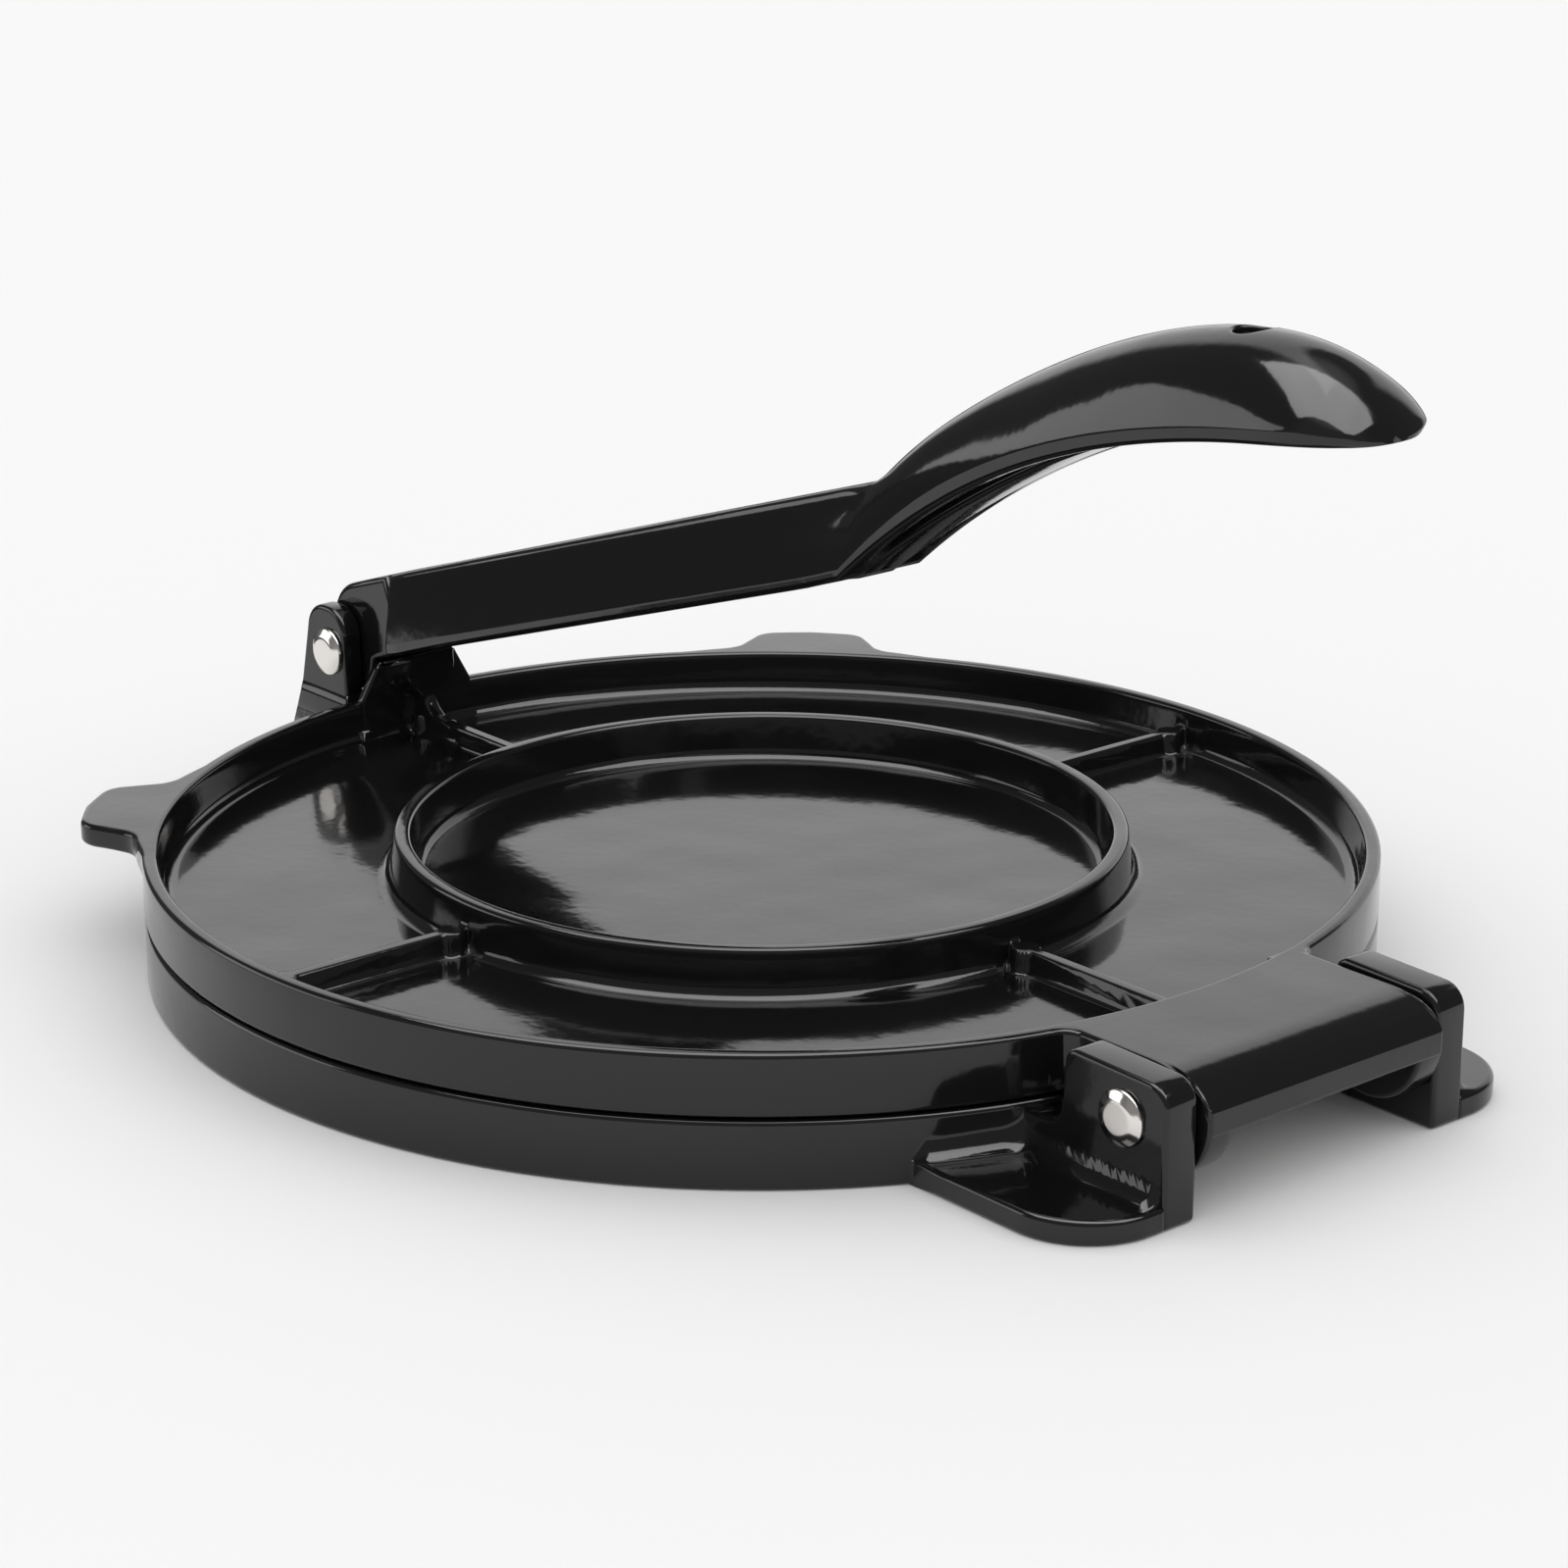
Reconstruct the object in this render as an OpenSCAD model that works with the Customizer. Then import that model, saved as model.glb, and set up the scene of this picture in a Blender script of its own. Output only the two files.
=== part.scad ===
// Tortilla press in cast aluminium, shut, with its lever resting on the ramp of the top plate.
// Millimetres. The origin is the plates' centre on the table, with +Z up.
// The plates hinge about a rivet at +X and the lever about a rivet at -X, both along Y.

/* [Plates] */
// Diameter of both plates
plate_d = 210; // [190:1:230]
// Height of the base plate, from the table to its pressing face
base_h = 11.3; // [10:0.1:13]
// Gap between the pressing faces when the press is shut
face_gap = 0.4; // [0.2:0.1:1]
// Height of the top plate, from its pressing face to its rim
top_h = 10.3; // [9:0.1:12]
// Thickness of both pressing floors
floor_t = 2.8; // [2.2:0.1:3.6]
// Width of both rims at their edge
rim_w = 2.6; // [2.2:0.1:4]
// Outer diameter of the stiffening rings
ring_d = 125.2; // [90:0.2:150]
// Width of the stiffening rings at their edge
ring_w = 2.7; // [2.2:0.1:4]
// How far the top ring stands above the rim
ring_proud = 0.6; // [0:0.1:1.5]
// How far the base ring stays above the table
ring_lift = 0.8; // [0.4:0.1:2]
// Width gained by a cast wall for each millimetre of its depth
draft = 0.11; // [0.02:0.01:0.2]
// Radius of the cast corners between floors and walls
corner_r = 2.2; // [1:0.1:3]
// Radius on the free edges of the castings
edge_r = 0.9; // [0.4:0.1:1.05]

/* [Ribs] */
// Width of a radial rib at its top
rib_w = 2.4; // [1.8:0.1:4]
// Height of the radial ribs above the floor
rib_h = 4; // [2.5:0.1:5.5]
// Diameter of the round posts at both ends of a rib
post_d = 5; // [4:0.1:7]
// Gap from the ring or the rim to the middle of its post
post_gap = 3.6; // [2.5:0.1:5]

/* [Lift tabs] */
// Angle of each lift tab from the lever side
tab_angle = 45.5; // [30:0.5:60]
// How far a lift tab reaches past the rim
tab_reach = 13.6; // [8:0.1:18]
// Half of the angle that a tab takes along the rim
tab_half = 9; // [7:0.5:12]
// Thickness of a lift tab
tab_t = 4; // [3:0.1:6]

/* [Plate hinge] */
// Distance from the rim to the hinge axis
hinge_out = 15.7; // [14:0.1:20]
// Height of the hinge axis above the base plate's pressing face
hinge_up = 4.2; // [3.5:0.1:5]
// Distance between the two hinge ears
ear_gap = 52; // [40:1:60]
// Thickness of a hinge ear
ear_t = 6.6; // [5:0.1:9]
// How far an ear reaches past the hinge axis
ear_end = 8.9; // [7:0.1:10.5]
// How far an ear reaches towards the plates from the hinge axis
ear_back = 12.4; // [9:0.1:13]
// Height of an ear above the hinge axis
ear_up = 7.4; // [6:0.1:9]
// Gap at each end of the cover between the ears
cover_gap = 0.5; // [0.3:0.1:1]
// Radius of the cast corner between the cover's side and the rim
cover_corner_r = 4; // [2:0.1:4.5]
// Wall of the cover
cover_t = 3; // [2.4:0.1:3.2]
// Radius of the round cheeks at the ends of the cover
cheek_r = 10.8; // [9:0.1:12]
// Thickness of a cheek
cheek_t = 5.5; // [4:0.1:8]
// Drop of the cover's roll from its flat top to its lip
roll_drop = 4.5; // [3.5:0.1:5.5]
// Depth of the cover's upright lip
lip_h = 4.3; // [3:0.1:6]

/* [Foot lugs] */
// Thickness of a foot lug
lug_t = 4; // [3:0.1:6]
// Width of a foot lug, out from the inner face of its ear
lug_w = 23; // [16:0.5:30]
// Radius of a foot lug's outer corner
lug_r = 14; // [8:0.5:15]
// Radius of the cast corner between lug and ear
lug_corner = 4; // [2:0.1:6]

/* [Lever bracket] */
// Distance from the rim to the lever's axis
pivot_out = 6.8; // [6.5:0.1:8]
// Height of the lever's axis above the top plate's rim
pivot_up = 7.8; // [7:0.1:10]
// Thickness of a bracket ear
clevis_t = 4; // [3:0.1:6]
// Height of a bracket ear above the lever's axis
clevis_up = 8.5; // [7.5:0.1:10]
// Width of a bracket ear at its top
clevis_w = 11; // [10.6:0.1:14]
// Slope of the bracket's outer edge, in width for each millimetre of height
clevis_slope = 0.22; // [0:0.01:0.3]
// Flare of the bracket's foot on each side
foot_flare = 2.9; // [0:0.1:5]
// Gap from the bracket to the rim of the top plate
bracket_gap = 1.1; // [0.6:0.1:1.3]

/* [Lever] */
// Angle of the lever bar when the press is shut
lever_angle = 18; // [16:0.5:22]
// Width of the lever's eye between the bracket ears
eye_w = 16; // [12:0.5:20]
// Gap on each side of the eye
eye_gap = 0.3; // [0.15:0.05:0.6]
// Radius of the eye about the lever's axis
eye_r = 8.2; // [7:0.1:8.4]
// Radius of the lever's heel, over the eye
heel_r = 8.6; // [6:0.1:8.8]
// How far the heel reaches behind the lever's axis
heel_back = 3.4; // [2.9:0.1:4]
// Distance from the lever's axis to the start of the bar
bar_start = 13.6; // [11:0.1:16]
// Width of the lever bar
bar_w = 18; // [14:0.5:22]
// Distance from the lever's axis up to the top of the bar
bar_over = 11.7; // [9:0.1:14]
// Distance from the lever's axis down to the underside of the bar
bar_under = 3.1; // [2:0.1:4.5]
// Radius on the long edges of the bar
bar_edge = 1.4; // [0.4:0.1:2.5]

/* [Handle] */
// Distance from the lever's axis to the root of the handle
grip_start = 145.5; // [120:0.5:160]
// Length of the handle
grip_len = 119; // [100:0.5:140]
// Width of the handle
grip_w = 25.6; // [22:0.2:34]
// Distance from the handle's root to the start of its crown inside the bar
crown_in = 9.9; // [8:0.1:12]
// Depth of the start of the crown below the top of the bar
crown_sink = 2.3; // [1:0.1:4]
// How far along the crown's first control point lies from its start
crown_along = 26.3; // [22:0.1:32]
// How far up the crown's first control point lies from its start
crown_up = 18.7; // [15:0.1:22]
// How far along the lower edge's first control point lies from its start
edge_along = 39.8; // [34:0.1:46]
// How far up the lower edge's first control point lies from its start
edge_up = 16.4; // [13:0.1:19]
// Height of the handle's tip above the lever's axis
tip_up = 4.2; // [2:0.1:8]
// Height of the curl at the handle's tip
tip_curl = 31.4; // [25:0.2:38]
// Length of the round end of the handle, seen from above
tip_round = 18; // [12:0.5:24]
// Wall of the handle
grip_t = 2.8; // [2.2:0.1:4]
// Width of the rib under the handle
keel_w = 9; // [6:0.5:14]
// Distance from the handle's root to the middle of the hang hole
hang_at = 92; // [75:0.5:100]
// Diameter of the hang hole
hang_d = 6; // [4:0.1:8]

/* [Ramp] */
// Gap between the lever bar and the ramp when the press is shut
ramp_gap = 0.3; // [0.2:0.05:0.6]
// Length of the ramp's top
ramp_len = 7.6; // [5:0.1:9]
// How far the ramp's back edge lies below the line of its top
ramp_fall = 0.6; // [0.2:0.1:1.2]
// Width of the ramp's top
ramp_w = 14; // [10:0.5:16]
// Width of the ramp's foot on the rim
ramp_foot = 25; // [18:0.5:30]

/* [Rivets] */
// Diameter of both rivets
rivet_d = 6; // [4:0.1:6.4]
// Radial clearance round both rivets
rivet_gap = 0.05; // [0.03:0.01:0.1]
// Diameter of the rivet heads
head_d = 9; // [8:0.1:11]
// Height of the rivet heads
head_h = 1.6; // [1.2:0.1:2.5]

/* [Hidden] */
$fn = 96;
COAT = [0.09, 0.09, 0.1];
NICKEL = [0.8, 0.78, 0.76];
ROUND_STEPS = 5;
SINK = 0.5;
ROOT_SINK = 0.3;

// Heights, from the table up
plate_r = plate_d / 2;
base_floor_z = base_h - floor_t;
press_z = base_h + face_gap;
top_floor_z = press_z + floor_t;
rim_z = press_z + top_h;
ring_z = rim_z + ring_proud;
ring_r = ring_d / 2;
rim_in = plate_r - rim_w;
// Radii of the walls where they meet the floors
top_rim_foot = rim_in - draft * (rim_z - top_floor_z);
base_rim_foot = rim_in - draft * base_floor_z;

// Axes
hinge_x = plate_r + hinge_out;
hinge_z = base_h + hinge_up;
pivot_x = -plate_r - pivot_out;
pivot_z = rim_z + pivot_up;
bore_r = rivet_d / 2 + rivet_gap;

// Plate hinge
ear_in = ear_gap / 2;
ear_out = ear_in + ear_t;
ear_x = hinge_x + ear_end;
cover_w = ear_gap - 2 * cover_gap;
lip_x = hinge_x + cheek_r;
lip_z = rim_z - roll_drop;

// Lever bracket
clevis_in = eye_w / 2 + eye_gap;
clevis_out = clevis_in + clevis_t;
clevis_top = pivot_z + clevis_up;
clevis_mid = pivot_x - 0.8;
bracket_x = -plate_r - bracket_gap;
saddle_z = pivot_z - bar_over - 1.5;

// Handle, in the lever's own frame: u runs along the bar and v across it
grip_end = grip_start + grip_len;
edge_tip_v = tip_up - 0.9;
crown_root = [grip_start + crown_in, bar_over - crown_sink];
crown_bow = [crown_root, crown_root + [crown_along, crown_up],
             [grip_end - 4.1, tip_up + tip_curl], [grip_end, tip_up]];
edge_root = [grip_start + 2.5, ROOT_SINK - bar_under];
edge_bow = [edge_root, edge_root + [edge_along, edge_up],
            [grip_start + 0.666 * grip_len, bar_over + 2], [grip_end, edge_tip_v]];
// Length of the bar inside the handle
BAR_TAIL = 24;
GRIP_STATIONS = 26;
GRIP_SIDES = 18;
// Depth of the keel's root in the handle's wall, as a part of the wall
KEEL_IN = 0.85;
// Shape of the handle: where its swelling ends and how it bends, the powers of the tip's outline
// and of the root's section, and where the hollow starts, as parts of the handle's curves
SWELL_END = 0.72;
SWELL_BEND = 0.67;
TIP_SHAPE = 2.5;
ROOT_SHAPE = 3.8;
HOLLOW_FROM = 0.18;

// Ramp: its top follows the underside of the bar
ramp_back = bracket_x + 2.9;
ramp_front = ramp_back + ramp_len;

function unit(v) = v / norm(v);
function mix(a, b, t) = a + (b - a) * t;
function clamp(t) = max(0, min(1, t));
function smooth(t) = let (c = clamp(t)) c * c * (3 - 2 * c);
function flip(points) = [for (i = [len(points) - 1 : -1 : 0]) points[i]];
function mirrored(points) = concat(points, [for (p = flip(points)) [-p.x, p.y, p.z]]);

// The turn from one angle to another the short way round
function short_turn(a) = a > 180 ? a - 360 : a < -180 ? a + 360 : a;

// Points of the arc of radius r that rounds the corner b between a and c
function corner_arc(a, b, c, r, n) =
    let (u = unit(a - b), v = unit(c - b), half = acos(u * v) / 2,
         centre = b + unit(u + v) * r / sin(half),
         p = b + u * r / tan(half) - centre, q = b + v * r / tan(half) - centre,
         from = atan2(p.y, p.x), turn = short_turn(atan2(q.y, q.x) - from))
    [for (k = [0 : n]) centre + r * [cos(from + turn * k / n), sin(from + turn * k / n)]];

// Closed outline through corners [x, y, r], each rounded to its own radius r
function rounded(corners, n = ROUND_STEPS) = [
    for (i = [0 : len(corners) - 1])
        let (m = len(corners), b = corners[i], a = corners[(i + m - 1) % m], c = corners[(i + 1) % m])
        each b.z > 0 ? corner_arc([a.x, a.y], [b.x, b.y], [c.x, c.y], b.z, n) : [[b.x, b.y]]
];

// Point at t on the cubic curve that four points pull
function bow(p, t) = pow(1 - t, 3) * p[0] + 3 * t * pow(1 - t, 2) * p[1]
    + 3 * t * t * (1 - t) * p[2] + pow(t, 3) * p[3];

// An outline drawn in X and Z, given a thickness along Y
module side_slab(outline, y0, y1) {
    translate([0, y1, 0]) rotate([90, 0, 0]) linear_extrude(y1 - y0) polygon(outline);
}

// An outline drawn in Y and Z, given a length along X
module front_slab(outline, x0, x1) {
    translate([x0, 0, 0]) rotate([90, 0, 90]) linear_extrude(x1 - x0) polygon(outline);
}

// A bore or pin along Y
module cross_bore(x, z, r, y0, y1) {
    translate([x, y1, z]) rotate([90, 0, 0]) cylinder(r = r, h = y1 - y0);
}

// Both copies of what is made on the +Y side
module both_sides() {
    children();
    mirror([0, 1, 0]) children();
}

// One radial rib along +X with its two posts; it stands on a floor at z = 0
module rib(from, to) {
    foot = rib_w / 2 + draft * rib_h;
    skirt = foot + corner_r + 0.1;
    front_slab(rounded(mirrored([
        [skirt, -SINK, 0], [skirt, 0, 0], [foot, 0, corner_r * 0.7], [rib_w / 2, rib_h, edge_r * 0.7]
    ]), 3), from, to);
    for (x = [from + post_gap, to - post_gap])
        translate([x, 0, -SINK]) cylinder(d = post_d, h = rib_h + SINK, $fn = 32);
}

module rib_cross() {
    for (turn = [0 : 90 : 270])
        rotate(turn) rib(ring_r - SINK, top_rim_foot + SINK);
}

/* Top plate */

module top_disc() {
    rotate_extrude() polygon(rounded([
        [0, press_z, 0], [plate_r, press_z, edge_r], [plate_r, rim_z, edge_r], [rim_in, rim_z, edge_r],
        [top_rim_foot, top_floor_z, corner_r],
        [ring_r + draft * (ring_z - top_floor_z), top_floor_z, corner_r],
        [ring_r, ring_z, edge_r], [ring_r - ring_w, ring_z, edge_r],
        [ring_r - ring_w - draft * (ring_z - top_floor_z), top_floor_z, corner_r],
        [0, top_floor_z, 0]
    ]));
}

// Lift tab: the rim swells by a smooth step to a lobe and back
module lift_tab(side) {
    middle = 180 + side * tab_angle;
    steps = 36;
    step_at = 7 / 9;
    lobe = [for (k = [0 : steps])
        let (s = 2 * k / steps - 1, r = plate_r - SINK + (tab_reach + SINK) * smooth((1 - abs(s)) / step_at))
        r * [cos(middle + s * tab_half), sin(middle + s * tab_half)]];
    root = [for (k = [8 : -1 : 0])
        (rim_in + SINK) * [cos(middle + (k / 4 - 1) * tab_half), sin(middle + (k / 4 - 1) * tab_half)]];
    translate([0, 0, rim_z - tab_t]) linear_extrude(tab_t) polygon(concat(lobe, root));
}

// Outer face of the hinge cover, from the plate to the lip
function cover_face(drop) = [
    [rim_in - 6, rim_z - drop, 0],
    [lip_x - roll_drop * 1.05 - drop * 0.4, rim_z - drop, drop > 0 ? 8 : 11],
    [lip_x - drop, lip_z - drop * 0.4, drop > 0 ? 1 : 1.2]
];

// Cast corner in plan between the rim and the side of the cover
module cover_corner() {
    side = cover_w / 2;
    from = sqrt(pow(plate_r + cover_corner_r, 2) - pow(side + cover_corner_r, 2));
    swing = atan2(side + cover_corner_r, from);
    translate([0, 0, press_z + 1]) linear_extrude(rim_z - press_z - 1) polygon(concat(
        [[rim_in, side - 1], [from, side - 1]],
        [for (k = [0 : 8]) let (a = mix(270, 180 + swing, k / 8))
            [from, side + cover_corner_r] + cover_corner_r * [cos(a), sin(a)]],
        [rim_in * [cos(swing), sin(swing)]]));
}

module hinge_cover() {
    shell = concat(cover_face(0),
        [[lip_x, lip_z - lip_h, edge_r], [lip_x - cover_t, lip_z - lip_h, edge_r]],
        flip(cover_face(cover_t)));
    inside = concat(cover_face(0), [[lip_x, 0, 0], [rim_in - 6, 0, 0]]);
    difference() {
        union() {
            side_slab(rounded(shell), -cover_w / 2, cover_w / 2);
            both_sides() cover_corner();
            // Cheeks: round ends that carry the hinge rivet, webbed back to the rim
            both_sides() intersection() {
                side_slab(rounded(inside), cover_w / 2 - cheek_t, cover_w / 2);
                union() {
                    cross_bore(hinge_x, hinge_z, cheek_r, cover_w / 2 - cheek_t, cover_w / 2);
                    translate([rim_in - 6, 0, press_z + 1])
                        cube([hinge_out + rim_w + 6, cover_w / 2, rim_z - press_z - 2]);
                }
            }
        }
        cylinder(r = plate_r - rim_w / 2, h = rim_z + 1, $fn = 192);
    }
}

// Height of the underside of the bar above a place on the X axis
function bar_low(x) = pivot_z + (x - pivot_x) * tan(lever_angle) - bar_under / cos(lever_angle);

// Ramp that the lever presses on: a block on the rim that narrows into the rib below it
module ramp() {
    top_back = bar_low(ramp_back) - ramp_gap;
    top_front = bar_low(ramp_front) - ramp_gap;
    low = top_floor_z - SINK;
    foot_x = ramp_front + 9;
    high = top_front + 2;
    intersection() {
        side_slab(rounded([
            [ramp_back, low, 0], [ramp_back, top_back - ramp_fall, 2], [ramp_front, top_front, 1.2],
            [ramp_front + 3.6, rim_z - 1, 5], [foot_x, top_floor_z + rib_h, 4], [foot_x + 2, low, 0]
        ]), -ramp_foot, ramp_foot);
        front_slab(rounded(mirrored([
            [ramp_foot / 2, low, 0], [ramp_foot / 2, rim_z, 0.6], [ramp_w / 2 + 1, rim_z + 4.5, 5],
            [ramp_w / 2, high, 0]
        ])), ramp_back - 1, foot_x + 3);
        linear_extrude(high) polygon(rounded([
            for (p = [[ramp_back - 1, ramp_foot / 2 + 1, 0], [-rim_in - 0.4, ramp_foot / 2 + 1, 1],
                      [-rim_in + 1.2, ramp_w / 2 + 0.8, 2], [ramp_front, ramp_w / 2 - 0.6, 3],
                      [foot_x + 3, rib_w / 2 + 1, 0]]) p,
            for (p = [[foot_x + 3, -rib_w / 2 - 1, 0], [ramp_front, -ramp_w / 2 + 0.6, 3],
                      [-rim_in + 1.2, -ramp_w / 2 - 0.8, 2], [-rim_in - 0.4, -ramp_foot / 2 - 1, 1],
                      [ramp_back - 1, -ramp_foot / 2 - 1, 0]]) p
        ]));
    }
}

module top_plate() {
    color(COAT) difference() {
        union() {
            top_disc();
            translate([0, 0, top_floor_z]) rib_cross();
            for (side = [-1, 1]) lift_tab(side);
            hinge_cover();
            ramp();
        }
        cross_bore(hinge_x, hinge_z, bore_r, -ear_in, ear_in);
        // Flat behind the ramp, where the rim swings up past the lever's eye
        translate([ramp_back - 10, -clevis_in - 0.5, press_z - 1]) cube([10, 2 * clevis_in + 1, rim_z]);
    }
}

/* Base plate */

module base_disc() {
    rotate_extrude() polygon(rounded([
        [0, base_h, 0], [0, base_floor_z, 0],
        [ring_r - ring_w - draft * (base_floor_z - ring_lift), base_floor_z, corner_r],
        [ring_r - ring_w, ring_lift, edge_r], [ring_r, ring_lift, edge_r],
        [ring_r + draft * (base_floor_z - ring_lift), base_floor_z, corner_r],
        [base_rim_foot, base_floor_z, corner_r],
        [rim_in, 0, edge_r], [plate_r, 0, edge_r], [plate_r, base_h, edge_r]
    ]));
}

// Foot lug in plan, on the +Y side
module lug_plan() {
    polygon(rounded([
        [rim_in - 6, ear_in, 0], [ear_x, ear_in, 0], [ear_x, ear_in + lug_w, lug_r],
        [rim_in - 14, ear_in + lug_w, 0]
    ], 12));
}

// Hinge ear on its foot lug, on the +Y side
module hinge_ear() {
    web_x = rim_in - 6;
    difference() {
        union() {
            // Cast corner between lug and plate
            intersection() {
                rotate_extrude() polygon(rounded([
                    [rim_in, lug_t - SINK, 0], [plate_r + lug_corner + 0.1, lug_t - SINK, 0],
                    [plate_r + lug_corner + 0.1, lug_t, 0], [plate_r, lug_t, lug_corner],
                    [plate_r, lug_t + lug_corner + 0.1, 0], [rim_in, lug_t + lug_corner + 0.1, 0]
                ]));
                linear_extrude(base_h) lug_plan();
            }
            side_slab(rounded([
                [web_x, 0, 0], [web_x, base_h - 1, 0], [hinge_x - ear_back - 1, base_h - 1, 3],
                [hinge_x - ear_back, hinge_z + ear_up, 2.5], [ear_x, hinge_z + ear_up - 0.5, 4],
                [ear_x, 0, edge_r]
            ]), ear_in, ear_out);
            linear_extrude(lug_t) lug_plan();
            // Cast corner between lug and ear
            front_slab(rounded([
                [ear_out - SINK, lug_t - SINK, 0], [ear_out + lug_corner + 0.1, lug_t - SINK, 0],
                [ear_out + lug_corner + 0.1, lug_t, 0], [ear_out, lug_t, lug_corner],
                [ear_out, lug_t + lug_corner + 0.1, 0], [ear_out - SINK, lug_t + lug_corner + 0.1, 0]
            ]), web_x, ear_x - 1.2);
        }
        translate([0, 0, -1]) cylinder(r = plate_r - rim_w / 2, h = base_h + 1, $fn = 192);
        cross_bore(hinge_x, hinge_z, bore_r, ear_in - 1, ear_out + 1);
    }
}

// Lever bracket: two ears on a flared foot, with the lever's slot between them
module lever_bracket() {
    edge_at_foot = clevis_mid - clevis_w / 2 - clevis_slope * clevis_top;
    difference() {
        intersection() {
            side_slab(rounded([
                [edge_at_foot, 0, edge_r], [clevis_mid - clevis_w / 2, clevis_top, clevis_w / 2 - 0.1],
                [clevis_mid + clevis_w / 2, clevis_top, clevis_w / 2 - 0.3],
                [bracket_x, base_h, 0], [-rim_in + 4, base_h - 1, 0], [-rim_in + 4, 0, 0]
            ], 10), -clevis_out - foot_flare, clevis_out + foot_flare);
            front_slab(rounded(mirrored([
                [clevis_out + foot_flare, 0, edge_r], [clevis_out, rim_z, 0], [clevis_out, clevis_top + 1, 0]
            ])), edge_at_foot, -rim_in + 4);
        }
        // Slot for the lever's eye
        translate([edge_at_foot - 1, -clevis_in, saddle_z])
            cube([-edge_at_foot, 2 * clevis_in, clevis_top]);
        // Hollow underside
        translate([edge_at_foot + clevis_t + 1.5, -clevis_in, -1])
            cube([bracket_x - edge_at_foot - 2 * clevis_t - 1.5, 2 * clevis_in, saddle_z - clevis_t + 1]);
        translate([0, 0, -1]) cylinder(r = plate_r - rim_w / 2, h = base_h + 1, $fn = 192);
        cross_bore(pivot_x, pivot_z, bore_r, -clevis_out - 1, clevis_out + 1);
    }
}

module base_plate() {
    color(COAT) union() {
        base_disc();
        translate([0, 0, base_floor_z]) mirror([0, 0, 1]) rib_cross();
        both_sides() hinge_ear();
        lever_bracket();
    }
}

/* Lever, drawn in its own frame and then set on its axis */

// Half width of the handle: it swells from the bar and rounds off at the tip
function grip_half(t) =
    let (u = bow(edge_bow, t).x, end = clamp((u - grip_end + tip_round) / tip_round),
         body = mix(bar_w / 2 + ROOT_SINK, grip_w / 2, pow(smooth(t / SWELL_END), SWELL_BEND)))
    max(body * pow(max(0, 1 - pow(end, TIP_SHAPE)), 1 / TIP_SHAPE), 1);

// Power in a section's outline: boxy at the root, like the bar, and an ellipse further on
function grip_shape(t) = mix(ROOT_SHAPE, 2, smooth(t / 0.4));

// Direction square to the crown, out of the metal
function crown_out(t) =
    let (d = unit(bow(crown_bow, t + 0.01) - bow(crown_bow, t - 0.01))) [-d.y, d.x];

// One half-oval section at t, from edge to edge over the crown; inset is the wall to leave
function grip_section(t, inset) =
    let (low = bow(edge_bow, t) - [0, inset > 0 ? 1 : 0], top = bow(crown_bow, t) - inset * crown_out(t),
         half = max(grip_half(t) - inset, 0.4), bend = 2 / grip_shape(t))
    [for (k = [0 : GRIP_SIDES])
        let (a = 180 * k / GRIP_SIDES - 90, p = mix(low, top, pow(abs(cos(a)), bend)))
        [p.x, half * sign(sin(a)) * pow(abs(sin(a)), bend), p.y]];

// Solid through a run of half-oval sections, closed by flat faces below and at both ends
module grip_body(stations, inset) {
    ring = GRIP_SIDES + 1;
    last = len(stations) - 1;
    polyhedron(
        points = [for (t = stations) each grip_section(t, inset)],
        faces = [
            for (j = [1 : GRIP_SIDES - 1]) each [[0, j + 1, j], [for (q = [0, j, j + 1]) last * ring + q]],
            for (i = [0 : last - 1], j = [0 : GRIP_SIDES])
                let (a = i * ring + j, b = i * ring + (j + 1) % ring)
                each [[a, b, a + ring], [b, b + ring, a + ring]]
        ]);
}

// Handle: a domed shell, open below
module grip_shell() {
    // Sections lie closer together towards the tip, where the handle turns down
    stations = [for (i = [0 : GRIP_STATIONS]) 1 - pow(1 - i / GRIP_STATIONS, 1.5)];
    inner = [for (t = stations) mix(HOLLOW_FROM, 0.955, t)];
    difference() {
        grip_body(stations, 0);
        grip_body(inner, grip_t);
    }
}

// Rib under the handle: the bar's underside runs on, rises to the handle's lower edge and
// ends on a slope before the hang hole
module keel() {
    rise = [for (i = [0 : 10]) bow([
        [grip_start + 1.5, -bar_under], [grip_start + 20.5, -bar_under + 6.5],
        [grip_start + 44.5, bar_over - 2.1], [grip_start + 66.5, bar_over - 1.1]], 0.1 * i)];
    crown = [for (i = [10 : -1 : 0]) let (t = 0.05 * i) bow(crown_bow, t) - KEEL_IN * grip_t * crown_out(t)];
    side_slab(concat([[grip_start - 4, -bar_under]], rise, crown, [[grip_start - 4, bar_over - 1]]),
        -keel_w / 2, keel_w / 2);
}

module lever_eye() {
    neck = bar_start + 3;
    cross_bore(0, 0, eye_r, -eye_w / 2, eye_w / 2);
    side_slab(rounded([
        [-heel_back, 0, 0], [-heel_back, bar_over, heel_r], [neck, bar_over, 0], [neck, -bar_under, 0],
        [sqrt(eye_r * eye_r - bar_under * bar_under), -bar_under, 0]
    ], 12), -eye_w / 2, eye_w / 2);
}

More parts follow.
